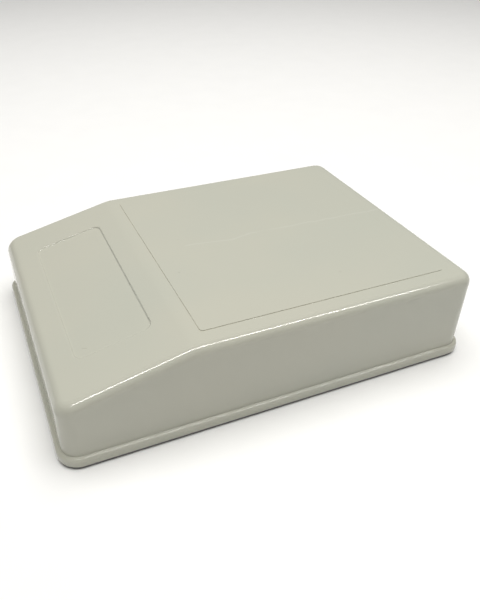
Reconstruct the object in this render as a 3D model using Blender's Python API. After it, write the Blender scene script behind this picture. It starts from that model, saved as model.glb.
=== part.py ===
"""Enclosed five-element Yagi antenna: a moulded radome cover over a base plate that
carries the boom, the elements, the feed and the rear connector.

Metres, +Z up. The origin is on the underside, at the middle of the rim's footprint.
+X is the way the antenna points, towards the low end of the cover; the connector is at -X.
"""
import math

import bmesh
import bpy
from mathutils import Vector

# ---- Driving dimensions of the cover ----
LENGTH = 0.2732              # over the bead at the rim
WIDTH = 0.200                # over the bead at the rim
HEIGHT = 0.0602              # underside to the flat top
FRONT_HEIGHT = 0.0408        # height of the slope where it would meet the front of the bead
SLOPE_LENGTH = 0.0815        # front of the bead back to the crease
CORNER_RADIUS = 0.0131       # bead, seen from above
CORNER_STEPS = 6             # flats round each corner of the rim
BEAD_PROUD = 0.0027
BEAD_TOP = 0.0073
BEAD_ROUNDING = 0.0022
DRAFT = 0.018                # how far a wall leans in for each unit of height
TOP_FILLET = 0.0062
WALL = 0.0025
ROOF = 0.0028
ROOF_RIB_DEPTH = 0.004
ROOF_RIB_WIDTH = 0.0016
ROOF_RIB_COUNT = 3
ROOF_RIB_SIDE_MARGIN = 0.020
PANEL_BEHIND_CREASE = 0.0066
PANEL_REAR_MARGIN = 0.0198
PANEL_SIDE_MARGIN = 0.0174
PANEL_CORNER = 0.0022
PANEL_RISE = 0.0004
RECESS_FRONT_MARGIN = 0.0216
RECESS_CREASE_MARGIN = 0.0149
RECESS_SIDE_MARGIN = 0.0364
RECESS_CORNER = 0.0055
RECESS_DEPTH = 0.0009

# ---- Base plate and the joint between it and the cover ----
GAP = 0.0003                 # left between touching pieces
FLANGE_THICKNESS = 0.0015
FLANGE_INSET = 0.0008        # behind the face of the bead
FLOOR_TOP = 0.004
FLOOR_CLEARANCE = 0.0004     # floor and upstand to the inside of the cover
UPSTAND_TOP = 0.010
UPSTAND_THICKNESS = 0.002
GROOVE_INSET = 0.0018
GROOVE_WIDTH = 0.0022
GROOVE_DEPTH = 0.0014
BOSS_INSET = 0.010           # screw bosses of the cover, behind the face of the bead
BOSS_RADIUS = 0.004
BOSS_HEIGHT = 0.024
BOSS_WEB = 0.0024
SCREW_END_MARGIN = 0.022
POCKET_DEPTH = 0.0015
POCKET_CORNER = 0.004
POCKET_MARGIN = 0.020
POCKET_RIB = 0.006
MAST_PAD_LENGTH = 0.092
MAST_PAD_WIDTH = 0.084
MAST_PITCH = 0.060
MAST_BOSS_RADIUS = 0.0068
MAST_BOSS_TOP = 0.0130
INSERT_RADIUS = 0.004
INSERT_BORE = 0.0026
INSERT_LENGTH = 0.0095
VENT_RADIUS = 0.004
VENT_FLANGE_RADIUS = 0.006
VENT_FLANGE_THICKNESS = 0.0012
VENT_REAR_MARGIN = 0.040
VENT_SIDE_OFFSET = 0.055

# ---- Screws driven from below ----
SCREW_RADIUS = 0.0015
SCREW_HEAD_RADIUS = 0.003
SCREW_HEAD_HEIGHT = 0.0016
SCREW_LENGTH = 0.0105
COUNTERBORE_RADIUS = 0.0036
COUNTERBORE_DEPTH = 0.0021
HOLE_CLEARANCE = 0.0003      # on a screw's radius

# ---- Boom, elements and feed ----
BOOM_SIDE = 0.014
BOOM_WALL = 0.0014
BOOM_FRONT_MARGIN = 0.014
BOOM_REAR_MARGIN = 0.0292
BOOM_SLOPE_CLEARANCE = 0.0028
CAP_HEAD = 0.0018
CAP_PLUG = 0.006
ELEMENT_DIAMETER = 0.005
ELEMENT_SIDE_CLEARANCE = 0.0102
DRIVEN_SHORTER = 0.010       # each element is this much shorter than the one behind it
DIRECTOR_1_SHORTER = 0.008
DIRECTOR_2_SHORTER = 0.004
DIRECTOR_3_SHORTER = 0.004
REFLECTOR_FROM_BOOM_END = 0.012
DRIVEN_SPACING = 0.046
DIRECTOR_1_SPACING = 0.040
DIRECTOR_3_FROM_BOOM_END = 0.014
BUSH_WALL = 0.0012
BUSH_SLEEVE = 0.003
BUSH_FLANGE = 0.0014
BUSH_FLANGE_EXTRA = 0.0018
DIPOLE_LOOP_RADIUS = 0.008
DIPOLE_FEED_GAP = 0.012
PIN_RADIUS = 0.0014          # small screws on the boom
PIN_HEAD_RADIUS = 0.0027
PIN_HEAD_HEIGHT = 0.0018
SUPPORT_LENGTH = 0.020
SUPPORT_CHEEK = 0.0022
SUPPORT_CHEEK_HEIGHT = 0.007
SUPPORT_SCREW_PITCH = 0.011
SUPPORT_SCREW_HOLD = 0.005
SUPPORT_LUG_CLEARANCE = 0.0008   # rear boom screw's head to the feed box's lug
FEED_BOX_LENGTH = 0.034
FEED_BOX_WIDTH = 0.032
FEED_BOX_HEIGHT = 0.0116
FEED_BOX_WALL = 0.002
FEED_BOX_LUG = 0.008
FEED_LID_THICKNESS = 0.0015
CEILING_CLEARANCE = 0.006    # feed box lid to the inside of the roof
BALUN_LENGTH = 0.022
BALUN_WIDTH = 0.014
BALUN_THICKNESS = 0.0014
DIPOLE_ABOVE_BOARD = 0.0012

# ---- Rear connector and its cable ----
CONNECTOR_HEIGHT = 0.019
BLOCK_NOSE_MARGIN = 0.0032   # nose beyond the jack's flange
BLOCK_NOSE_CLEARANCE = 0.0005
BLOCK_NOSE_INSET = 0.0020    # behind the face of the bead
BLOCK_PLATE = 0.0032
BLOCK_PLATE_MARGIN = 0.004   # plate beyond the nose, each side
BLOCK_FOOT_LENGTH = 0.011
BLOCK_FOOT_HEIGHT = 0.010
BLOCK_SCREW_MARGIN = 0.0042  # screws beyond the nut's corners
JACK_RADIUS = 0.0079
JACK_FLANGE_EXTRA = 0.0039   # on the jack's radius
JACK_FLANGE_THICKNESS = 0.0028
JACK_REACH = 0.0112          # threaded nose beyond the flange
JACK_BORE = 0.0042
JACK_SLEEVE_WALL = 0.0023
JACK_CHAMFER = 0.0008
JACK_SLEEVE_DEPTH = 0.0085
JACK_TAIL_RADIUS = 0.0048
JACK_TAIL = 0.004
JACK_TAIL_BORE = 0.0022
O_RING_THICKNESS = 0.0006
WASHER_THICKNESS = 0.0008
NUT_THICKNESS = 0.0028
NUT_WALL = 0.00115           # at the middle of a flat
THREAD_BEYOND_NUT = 0.002
CONTACT_RADIUS = 0.0015
COAX_RADIUS = 0.0014
COAX_CLEARANCE = 0.001       # to the boom and its supports

# ---- Places that follow from the sizes above ----
RIM_BOTTOM = FLANGE_THICKNESS + GAP
SLOPE = (HEIGHT - FRONT_HEIGHT) / SLOPE_LENGTH
ROOF_DROP = ROOF * math.hypot(1, SLOPE)
INNER_INSET = BEAD_PROUD + WALL
JACK_FLANGE_RADIUS = JACK_RADIUS + JACK_FLANGE_EXTRA
JACK_SLEEVE_BORE = JACK_RADIUS - JACK_SLEEVE_WALL
BLOCK_NOSE_RADIUS = JACK_FLANGE_RADIUS + BLOCK_NOSE_MARGIN
NUT_ACROSS_CORNERS = 2 * (JACK_RADIUS + GAP + NUT_WALL) / math.cos(math.pi / 6)
BLOCK_SCREW_PITCH = NUT_ACROSS_CORNERS + 2 * BLOCK_SCREW_MARGIN
CEILING = HEIGHT - ROOF
LID_TOP = CEILING - CEILING_CLEARANCE
FEED_FLOOR = LID_TOP - FEED_LID_THICKNESS - GAP - FEED_BOX_HEIGHT
BOOM_TOP = FEED_FLOOR - GAP
BOOM_MIDDLE = BOOM_TOP - BOOM_SIDE / 2
BOOM_BOTTOM = BOOM_TOP - BOOM_SIDE
BLOCK_PLATE_INSET = INNER_INSET + DRAFT * (CONNECTOR_HEIGHT + BLOCK_NOSE_RADIUS) + 2 * FLOOR_CLEARANCE


def behind_front(distance):
    """X of a place this far behind the front face of the bead."""
    return LENGTH / 2 - distance


def before_rear(distance):
    """X of a place this far ahead of the rear face of the bead."""
    return distance - LENGTH / 2


BOOM_FRONT_DISTANCE = max(
    BOOM_FRONT_MARGIN,
    (BOOM_TOP + BOOM_SLOPE_CLEARANCE + ROOF_DROP - FRONT_HEIGHT) / SLOPE,
)
BOOM_FRONT = behind_front(BOOM_FRONT_DISTANCE)
BOOM_REAR = before_rear(BOOM_REAR_MARGIN)
REFLECTOR_X = BOOM_REAR + REFLECTOR_FROM_BOOM_END
DRIVEN_X = REFLECTOR_X + DRIVEN_SPACING
DIRECTOR_1_X = DRIVEN_X + DIRECTOR_1_SPACING
DIRECTOR_3_X = BOOM_FRONT - DIRECTOR_3_FROM_BOOM_END
DIRECTOR_2_X = (DIRECTOR_1_X + DIRECTOR_3_X) / 2
INNER_WIDTH = WIDTH - 2 * (INNER_INSET + DRAFT * (BOOM_MIDDLE - BEAD_TOP))
REFLECTOR_LENGTH = INNER_WIDTH - 2 * ELEMENT_SIDE_CLEARANCE
DRIVEN_LENGTH = REFLECTOR_LENGTH - DRIVEN_SHORTER
DIRECTOR_1_LENGTH = DRIVEN_LENGTH - DIRECTOR_1_SHORTER
DIRECTOR_2_LENGTH = DIRECTOR_1_LENGTH - DIRECTOR_2_SHORTER
DIRECTOR_3_LENGTH = DIRECTOR_2_LENGTH - DIRECTOR_3_SHORTER
RODS = {
    "reflector": (REFLECTOR_X, REFLECTOR_LENGTH),
    "director_1": (DIRECTOR_1_X, DIRECTOR_1_LENGTH),
    "director_2": (DIRECTOR_2_X, DIRECTOR_2_LENGTH),
    "director_3": (DIRECTOR_3_X, DIRECTOR_3_LENGTH),
}
SUPPORTS = {
    "front": (DIRECTOR_2_X + DIRECTOR_3_X) / 2,
    "rear": DRIVEN_X - FEED_BOX_LENGTH / 2 - FEED_BOX_LUG - PIN_HEAD_RADIUS - SUPPORT_LUG_CLEARANCE,
}
BOARD_TOP = FEED_FLOOR + FEED_BOX_WALL + GAP + BALUN_THICKNESS
DIPOLE_HEIGHT = BOARD_TOP + GAP + DIPOLE_ABOVE_BOARD + ELEMENT_DIAMETER / 2
NOSE_FACE = before_rear(BLOCK_NOSE_INSET)
PLATE_REAR = before_rear(BLOCK_PLATE_INSET)
PLATE_FRONT = PLATE_REAR + BLOCK_PLATE
BLOCK_HALF_WIDTH = BLOCK_NOSE_RADIUS + BLOCK_PLATE_MARGIN
FOOT_MIDDLE = PLATE_FRONT + BLOCK_FOOT_LENGTH / 2
SCREW_SPOTS = [
    (behind_front(SCREW_END_MARGIN), "front"),
    (0.0, "middle"),
    (before_rear(SCREW_END_MARGIN), "rear"),
]
NUT_REAR = PLATE_FRONT + GAP + WASHER_THICKNESS + GAP
JACK_TAIL_END = NUT_REAR + NUT_THICKNESS + THREAD_BEYOND_NUT + JACK_TAIL
COAX_HEIGHT = min(CONNECTOR_HEIGHT, BOOM_BOTTOM - COAX_CLEARANCE - COAX_RADIUS)


# ---- Modelling helpers ----
def clear_scene():
    for item in list(bpy.data.objects):
        bpy.data.objects.remove(item, do_unlink=True)


def make_object(name, shape, location=(0, 0, 0)):
    """Turns a finished bmesh into an object placed by its location."""
    bmesh.ops.recalc_face_normals(shape, faces=shape.faces)
    mesh = bpy.data.meshes.new(name)
    shape.to_mesh(mesh)
    shape.free()
    item = bpy.data.objects.new(name, mesh)
    item.location = location
    bpy.context.scene.collection.objects.link(item)
    return item


def boolean(item, tools, operation):
    """Joins the tools to the item or cuts them from it, one at a time, and removes them."""
    for tool in tools:
        modifier = item.modifiers.new(operation, "BOOLEAN")
        modifier.operation = operation
        modifier.solver = "EXACT"
        modifier.object = tool
        bpy.context.view_layer.update()
        evaluated = item.evaluated_get(bpy.context.evaluated_depsgraph_get())
        result = bpy.data.meshes.new_from_object(evaluated)
        item.modifiers.remove(modifier)
        item.data = result
        bpy.data.objects.remove(tool, do_unlink=True)
    return item


def cut(item, tools):
    return boolean(item, tools, "DIFFERENCE")


def join(item, tools):
    return boolean(item, tools, "UNION")


def block(low, high, name="tool"):
    """Box between two corners, with its origin at its middle."""
    low = Vector(low)
    high = Vector(high)
    shape = bmesh.new()
    bmesh.ops.create_cube(shape, size=1.0)
    bmesh.ops.scale(shape, vec=high - low, verts=shape.verts)
    return make_object(name, shape, (low + high) / 2)


def rod(start, end, radius, sides=16, name="tool"):
    """Straight cylinder between two points, with its origin at its middle."""
    start = Vector(start)
    end = Vector(end)
    turn = (end - start).to_track_quat("Z", "Y").to_matrix().to_4x4()
    shape = bmesh.new()
    bmesh.ops.create_cone(
        shape, cap_ends=True, segments=sides, radius1=radius, radius2=radius,
        depth=(end - start).length, matrix=turn,
    )
    return make_object(name, shape, (start + end) / 2)


def turned(profile, sides, direction, location, name):
    """Solid of revolution. The profile is (distance along direction, radius) points in order."""
    shape = bmesh.new()
    points = [shape.verts.new((radius, 0, along)) for along, radius in profile]
    edges = [shape.edges.new(pair) for pair in zip(points, points[1:])]
    if profile[0] != profile[-1] and profile[0][1] > 0:
        edges.append(shape.edges.new((points[-1], points[0])))
    bmesh.ops.spin(
        shape, geom=points + edges, cent=(0, 0, 0), axis=(0, 0, 1),
        angle=math.tau, steps=sides, use_merge=True,
    )
    bmesh.ops.remove_doubles(shape, verts=shape.verts, dist=1e-7)
    turn = Vector(direction).to_track_quat("Z", "Y").to_matrix()
    bmesh.ops.rotate(shape, cent=(0, 0, 0), matrix=turn, verts=shape.verts)
    return make_object(name, shape, location)


def outline(half_x, half_y, radius, steps):
    """Rectangle with round corners as points in order, anticlockwise from above."""
    points = []
    for corner in range(4):
        side_x = 1 if corner in (0, 3) else -1
        side_y = 1 if corner in (0, 1) else -1
        for step in range(steps + 1):
            angle = (corner + step / steps) * math.pi / 2
            points.append((
                side_x * (half_x - radius) + radius * math.cos(angle),
                side_y * (half_y - radius) + radius * math.sin(angle),
            ))
    return points


def stacked(levels):
    """Closed bmesh through rim outlines, one for each (height, inset from the bead's face)."""
    shape = bmesh.new()
    rings = []
    for height, inset in levels:
        points = outline(LENGTH / 2 - inset, WIDTH / 2 - inset, CORNER_RADIUS - inset, CORNER_STEPS)
        rings.append([shape.verts.new((x, y, height)) for x, y in points])
    for lower, upper in zip(rings, rings[1:]):
        for index in range(len(lower)):
            following = (index + 1) % len(lower)
            shape.faces.new((lower[index], lower[following], upper[following], upper[index]))
    shape.faces.new(list(reversed(rings[0])))
    shape.faces.new(rings[-1])
    return shape


def prism(low, high, radius, bottom, top, steps=3, name="tool"):
    """Upright block between two (x, y) corners, with round corners seen from above."""
    centre = ((low[0] + high[0]) / 2, (low[1] + high[1]) / 2)
    points = outline((high[0] - low[0]) / 2, (high[1] - low[1]) / 2, radius, steps)
    shape = bmesh.new()
    face = shape.faces.new([shape.verts.new((x, y, 0)) for x, y in points])
    lifted = bmesh.ops.extrude_face_region(shape, geom=[face])
    upper = [part for part in lifted["geom"] if isinstance(part, bmesh.types.BMVert)]
    bmesh.ops.translate(shape, vec=(0, 0, top - bottom), verts=upper)
    return make_object(name, shape, (*centre, bottom))


def arched(rear, front, radius, bottom, name="tool"):
    """Block along X with a half-round top about the connector's axis."""
    steps = 16
    points = [(-radius, bottom), (radius, bottom)]
    for step in range(steps + 1):
        angle = math.pi * step / steps
        points.append((radius * math.cos(angle), CONNECTOR_HEIGHT + radius * math.sin(angle)))
    shape = bmesh.new()
    face = shape.faces.new([shape.verts.new((rear, y, z)) for y, z in points])
    lifted = bmesh.ops.extrude_face_region(shape, geom=[face])
    moved = [part for part in lifted["geom"] if isinstance(part, bmesh.types.BMVert)]
    bmesh.ops.translate(shape, vec=(front - rear, 0, 0), verts=moved)
    return make_object(name, shape)


def slice_off(shape, point, normal):
    """Cuts away what lies beyond a plane and closes the cut with one face."""
    everything = shape.verts[:] + shape.edges[:] + shape.faces[:]
    result = bmesh.ops.bisect_plane(
        shape, geom=everything, plane_co=point, plane_no=normal, clear_outer=True
    )
    rim = [part for part in result["geom_cut"] if isinstance(part, bmesh.types.BMEdge)]
    bmesh.ops.contextual_create(shape, geom=rim)


def finish(item, colour, roughness, metallic, parent):
    """Gives a piece its own material, smooth shading on its round faces, and its parent."""
    material = bpy.data.materials.new(item.name)
    material.use_nodes = True
    shader = material.node_tree.nodes["Principled BSDF"]
    shader.inputs["Base Color"].default_value = (*colour, 1)
    shader.inputs["Roughness"].default_value = roughness
    shader.inputs["Metallic"].default_value = metallic
    item.data.materials.clear()
    item.data.materials.append(material)
    if item.type == "MESH":
        item.data.shade_smooth()
        item.data.set_sharp_from_angle(angle=math.radians(32))
    item.parent = parent
    return item


# ---- Cover ----
def drafted(height, inset):
    """A height and how far behind the bead's face a wall lies there, given its inset at the bead."""
    return (height, inset + DRAFT * (height - BEAD_TOP))


def roofed(shape, drop, fillet, segments):
    """Slices the slope off the front of a tall solid and rounds the edges round its top."""
    slope_normal = Vector((SLOPE, 0, 1)).normalized()
    crease = (behind_front(SLOPE_LENGTH), 0, HEIGHT - ROOF_DROP if drop else HEIGHT)
    slice_off(shape, crease, slope_normal)
    shape.normal_update()
    edges = []
    for edge in shape.edges:
        above_bead = edge.verts[0].co.z > 2 * BEAD_TOP
        roof = [face.normal.z > 0.9 for face in edge.link_faces]
        if above_bead and any(roof) and not all(roof):
            edges.append(edge)
    bmesh.ops.bevel(
        shape, geom=edges, offset=fillet, offset_type="OFFSET", segments=segments,
        profile=0.5, affect="EDGES", material=-1, clamp_overlap=False,
    )
    return shape


def cover_outside():
    rounding = []
    for step in range(4):
        angle = step / 3 * math.pi / 2
        rounding.append((
            BEAD_TOP - BEAD_ROUNDING + BEAD_ROUNDING * math.sin(angle),
            BEAD_ROUNDING - BEAD_ROUNDING * math.cos(angle),
        ))
    levels = [(RIM_BOTTOM, GAP), (RIM_BOTTOM + GAP, 0)]
    levels += rounding
    levels += [drafted(BEAD_TOP, BEAD_PROUD), drafted(HEIGHT, BEAD_PROUD)]
    shape = stacked(levels)
    shape.normal_update()
    return make_object("radome_cover", roofed(shape, False, TOP_FILLET, 4))


def cover_inside():
    below = RIM_BOTTOM - 0.001
    shape = stacked([drafted(below, INNER_INSET), drafted(CEILING, INNER_INSET)])
    shape.normal_update()
    return make_object("tool", roofed(shape, True, TOP_FILLET - WALL, 2))


def cover_bosses():
    """Screw bosses that stand along the long walls, each with a web to its wall."""
    bottom = FLOOR_TOP + GAP
    shapes = []
    for x, _ in SCREW_SPOTS:
        for side in (-1, 1):
            y = side * (WIDTH / 2 - BOSS_INSET)
            wall = side * (WIDTH / 2 - INNER_INSET + WALL / 2)
            shapes.append(rod((x, y, bottom), (x, y, bottom + BOSS_HEIGHT), BOSS_RADIUS, 14))
            shapes.append(block(
                (x - BOSS_WEB / 2, min(y, wall), bottom + GAP),
                (x + BOSS_WEB / 2, max(y, wall), bottom + BOSS_HEIGHT - GAP),
            ))
    return shapes


def roof_ribs():
    """Stiffening ribs across the underside of the flat top."""
    first = behind_front(SLOPE_LENGTH + PANEL_BEHIND_CREASE)
    last = before_rear(PANEL_REAR_MARGIN)
    half_width = WIDTH / 2 - ROOF_RIB_SIDE_MARGIN
    shapes = []
    for number in range(ROOF_RIB_COUNT):
        x = first + (last - first) * (number + 0.5) / ROOF_RIB_COUNT
        shapes.append(block(
            (x - ROOF_RIB_WIDTH / 2, -half_width, CEILING - ROOF_RIB_DEPTH),
            (x + ROOF_RIB_WIDTH / 2, half_width, CEILING + ROOF / 2),
        ))
    return shapes


def slope_recess():
    """Shallow pocket in the slope: an upright prism whose foot follows the slope."""
    low = (behind_front(SLOPE_LENGTH - RECESS_CREASE_MARGIN), RECESS_SIDE_MARGIN - WIDTH / 2)
    high = (behind_front(RECESS_FRONT_MARGIN), WIDTH / 2 - RECESS_SIDE_MARGIN)
    tool = prism(low, high, RECESS_CORNER, FRONT_HEIGHT / 2, HEIGHT + ROOF)
    shape = bmesh.new()
    shape.from_mesh(tool.data)
    crease = Vector((behind_front(SLOPE_LENGTH), 0, HEIGHT))
    normal = Vector((SLOPE, 0, 1)).normalized()
    slice_off(shape, crease - tool.location - normal * RECESS_DEPTH, -normal)
    location = tool.location.copy()
    bpy.data.objects.remove(tool, do_unlink=True)
    return make_object("tool", shape, location)


def rim_ring(inset, width, bottom, top, name="tool"):
    """Ring that follows the rim at one inset, between two heights."""
    ring = make_object(name, stacked([(bottom, inset), (top, inset)]))
    margin = top - bottom
    hole = make_object("tool", stacked([(bottom - margin, inset + width), (top + margin, inset + width)]))
    return cut(ring, [hole])


def rear_notch(clearance):
    """Round-topped slot through the rear wall, open at the rim, for the connector block's nose."""
    radius = BLOCK_NOSE_RADIUS + clearance
    return arched(before_rear(-WALL), PLATE_FRONT, radius, -FLOOR_TOP)


def make_cover():
    cover = cut(cover_outside(), [cover_inside()])
    panel_low = (before_rear(PANEL_REAR_MARGIN), PANEL_SIDE_MARGIN - WIDTH / 2)
    panel_high = (behind_front(SLOPE_LENGTH + PANEL_BEHIND_CREASE), WIDTH / 2 - PANEL_SIDE_MARGIN)
    panel = prism(panel_low, panel_high, PANEL_CORNER, HEIGHT - ROOF / 2, HEIGHT + PANEL_RISE)
    join(cover, [panel] + roof_ribs() + cover_bosses())
    pilot_holes = []
    for x, _ in SCREW_SPOTS:
        for side in (-1, 1):
            y = side * (WIDTH / 2 - BOSS_INSET)
            pilot_holes.append(rod(
                (x, y, FLOOR_TOP - GAP), (x, y, COUNTERBORE_DEPTH + SCREW_LENGTH + 2 * GAP),
                SCREW_RADIUS + HOLE_CLEARANCE, 12,
            ))
    groove = rim_ring(GROOVE_INSET, GROOVE_WIDTH, RIM_BOTTOM - GAP, RIM_BOTTOM + GROOVE_DEPTH)
    return cut(cover, [slope_recess(), groove, rear_notch(BLOCK_NOSE_CLEARANCE)] + pilot_holes)


def make_gasket():
    """Rubber seal in the rim's groove, split where the connector block passes."""
    gasket = rim_ring(
        GROOVE_INSET + GAP, GROOVE_WIDTH - 2 * GAP, RIM_BOTTOM, RIM_BOTTOM + GROOVE_DEPTH - GAP,
        "rim_gasket",
    )
    return cut(gasket, [rear_notch(BLOCK_NOSE_CLEARANCE)])


# ---- Base plate ----
def base_screw_spots():
    """Name and (x, y) of every screw that is driven up through the base plate."""
    spots = []
    for x, place in SCREW_SPOTS:
        for side, hand in ((-1, "right"), (1, "left")):
            spots.append((f"cover_screw_{place}_{hand}", x, side * (WIDTH / 2 - BOSS_INSET)))
    for place, x in SUPPORTS.items():
        for number in (1, 2):
            offset = (number - 1.5) * SUPPORT_SCREW_PITCH
            spots.append((f"support_screw_{place}_{number}", x + offset, 0.0))
    for number in (1, 2):
        offset = (number - 1.5) * BLOCK_SCREW_PITCH
        spots.append((f"block_screw_{number}", FOOT_MIDDLE, offset))
    return spots


def underside_pockets():
    """Shallow pockets that leave a land round the edge, ribs between, and the pad for the mast."""
    front = behind_front(POCKET_MARGIN)
    rear = before_rear(POCKET_MARGIN)
    side = WIDTH / 2 - POCKET_MARGIN
    pad_x = MAST_PAD_LENGTH / 2
    pad_y = MAST_PAD_WIDTH / 2
    rib = POCKET_RIB / 2
    spans_x = [(rear, -pad_x), (pad_x, front)]
    corners = []
    for low_x, high_x in spans_x:
        corners.append(((low_x, rib + COUNTERBORE_RADIUS), (high_x, side)))
        corners.append(((low_x, -side), (high_x, -rib - COUNTERBORE_RADIUS)))
    corners.append(((-pad_x + POCKET_RIB, pad_y), (pad_x - POCKET_RIB, side)))
    corners.append(((-pad_x + POCKET_RIB, -side), (pad_x - POCKET_RIB, -pad_y)))
    return [prism(low, high, POCKET_CORNER, -GAP, POCKET_DEPTH) for low, high in corners]


def mast_spots():
    half = MAST_PITCH / 2
    return [(x, y) for x in (-half, half) for y in (-half, half)]


def vent_spot():
    return (before_rear(VENT_REAR_MARGIN), -VENT_SIDE_OFFSET)


def make_base_plate():
    plate = make_object("base_plate", stacked([(0, FLANGE_INSET), (FLANGE_THICKNESS, FLANGE_INSET)]))
    edge = INNER_INSET + FLOOR_CLEARANCE
    floor = make_object("tool", stacked([(POCKET_DEPTH / 4, edge), (FLOOR_TOP, edge)]))
    upstand = rim_ring(edge + GAP, UPSTAND_THICKNESS, FLOOR_TOP - FLANGE_THICKNESS, UPSTAND_TOP)
    gaps = []
    clear = BOSS_RADIUS + 2 * FLOOR_CLEARANCE
    for x, _ in SCREW_SPOTS:
        gaps.append(block(
            (x - clear, -WIDTH, FLOOR_TOP), (x + clear, WIDTH, UPSTAND_TOP + FLOOR_TOP),
        ))
    gaps.append(block(
        (-LENGTH, -BLOCK_HALF_WIDTH - 2 * FLOOR_CLEARANCE, FLOOR_TOP),
        (FOOT_MIDDLE, BLOCK_HALF_WIDTH + 2 * FLOOR_CLEARANCE, UPSTAND_TOP + FLOOR_TOP),
    ))
    mast_bosses = [
        rod((x, y, FLOOR_TOP / 2), (x, y, MAST_BOSS_TOP), MAST_BOSS_RADIUS, 16) for x, y in mast_spots()
    ]
    join(plate, [floor, cut(upstand, gaps)] + mast_bosses)
    holes = underside_pockets()
    for _, x, y in base_screw_spots():
        holes.append(rod((x, y, -GAP), (x, y, COUNTERBORE_DEPTH), COUNTERBORE_RADIUS, 16))
        holes.append(rod((x, y, 0), (x, y, FLOOR_TOP + GAP), SCREW_RADIUS + HOLE_CLEARANCE, 12))
    for x, y in mast_spots():
        depth = INSERT_LENGTH + 3 * GAP
        holes.append(rod((x, y, -GAP), (x, y, depth), INSERT_RADIUS + GAP, 16))
    x, y = vent_spot()
    seat = POCKET_DEPTH + VENT_FLANGE_THICKNESS / 2
    holes.append(rod((x, y, 0), (x, y, FLOOR_TOP + GAP), VENT_RADIUS + GAP, 16))
    holes.append(rod((x, y, 0), (x, y, seat), VENT_FLANGE_RADIUS + GAP, 20))
    return cut(plate, holes)


def make_base_screws():
    """Pan-head screws, all of one kind, with their heads in the underside's counterbores."""
    head = COUNTERBORE_DEPTH - GAP - SCREW_HEAD_HEIGHT
    socket = SCREW_HEAD_RADIUS * 0.45
    profile = [
        (head + SCREW_HEAD_HEIGHT / 2, 0),
        (head + SCREW_HEAD_HEIGHT / 2, socket),
        (head, socket),
        (head, SCREW_HEAD_RADIUS * 0.8),
        (head + SCREW_HEAD_HEIGHT * 0.4, SCREW_HEAD_RADIUS),
        (head + SCREW_HEAD_HEIGHT, SCREW_HEAD_RADIUS),
        (head + SCREW_HEAD_HEIGHT, SCREW_RADIUS),
        (COUNTERBORE_DEPTH + SCREW_LENGTH - SCREW_RADIUS, SCREW_RADIUS),
        (COUNTERBORE_DEPTH + SCREW_LENGTH, 0),
    ]
    return [turned(profile, 12, (0, 0, 1), (x, y, 0), name) for name, x, y in base_screw_spots()]


def make_mast_inserts():
    """Threaded brass inserts for the mast bracket's bolts, just below the underside's face."""
    profile = [
        (GAP, INSERT_BORE),
        (GAP, INSERT_RADIUS - GAP),
        (2 * GAP, INSERT_RADIUS),
        (GAP + INSERT_LENGTH, INSERT_RADIUS),
        (GAP + INSERT_LENGTH, INSERT_BORE),
    ]
    return [
        turned(profile, 16, (0, 0, 1), (x, y, 0), f"mast_insert_{number}")
        for number, (x, y) in enumerate(mast_spots(), 1)
    ]


def make_vent_plug():
    """Breather plug that lets the housing dry out, pressed in from below."""
    x, y = vent_spot()
    seat = POCKET_DEPTH + VENT_FLANGE_THICKNESS / 2 - GAP
    profile = [
        (seat - VENT_FLANGE_THICKNESS, 0),
        (seat - VENT_FLANGE_THICKNESS, VENT_FLANGE_RADIUS * 0.8),
        (seat - VENT_FLANGE_THICKNESS / 2, VENT_FLANGE_RADIUS),
        (seat, VENT_FLANGE_RADIUS),
        (seat, VENT_RADIUS),
        (FLOOR_TOP + GAP, VENT_RADIUS),
        (FLOOR_TOP + 2 * GAP, VENT_RADIUS - GAP),
        (FLOOR_TOP + 2 * GAP, 0),
    ]
    return turned(profile, 20, (0, 0, 1), (x, y, 0), "vent_plug")


# ---- Boom and elements ----
def boom_pins():
    """Name, x and lowest point of every small screw that is driven down into the boom."""
    pinch = BOOM_MIDDLE + ELEMENT_DIAMETER / 2 + GAP
    pins = [(f"element_screw_{name}", x, BOOM_TOP, pinch) for name, (x, _) in RODS.items()]
    for place, x in SUPPORTS.items():
        pins.append((f"boom_screw_{place}", x, BOOM_TOP, BOOM_BOTTOM - SUPPORT_SCREW_HOLD))
    lug_top = FEED_FLOOR + FEED_BOX_WALL
    for place, side in (("rear", -1), ("front", 1)):
        x = DRIVEN_X + side * (FEED_BOX_LENGTH + FEED_BOX_LUG) / 2
        pins.append((f"feed_box_screw_{place}", x, lug_top, BOOM_TOP - 2 * BOOM_WALL))
    return pins


def make_boom():
    half = BOOM_SIDE / 2
    bore = half - BOOM_WALL
    boom = block((BOOM_REAR, -half, BOOM_BOTTOM), (BOOM_FRONT, half, BOOM_TOP), "boom")
    middle = BOOM_MIDDLE
    tools = [block((BOOM_REAR - half, -bore, middle - bore), (BOOM_FRONT + half, bore, middle + bore))]
    sleeve = ELEMENT_DIAMETER / 2 + GAP + BUSH_WALL + GAP
    for x, _ in RODS.values():
        tools.append(rod((x, -BOOM_SIDE, middle), (x, BOOM_SIDE, middle), sleeve, 16))
    for _, x, seat, tip in boom_pins():
        lowest = min(tip - GAP, BOOM_TOP - 2 * BOOM_WALL)
        if tip > BOOM_BOTTOM:
            lowest = max(lowest, middle)
        tools.append(rod((x, 0, lowest), (x, 0, seat + GAP), PIN_RADIUS + HOLE_CLEARANCE, 12))
    return cut(boom, tools)


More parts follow.
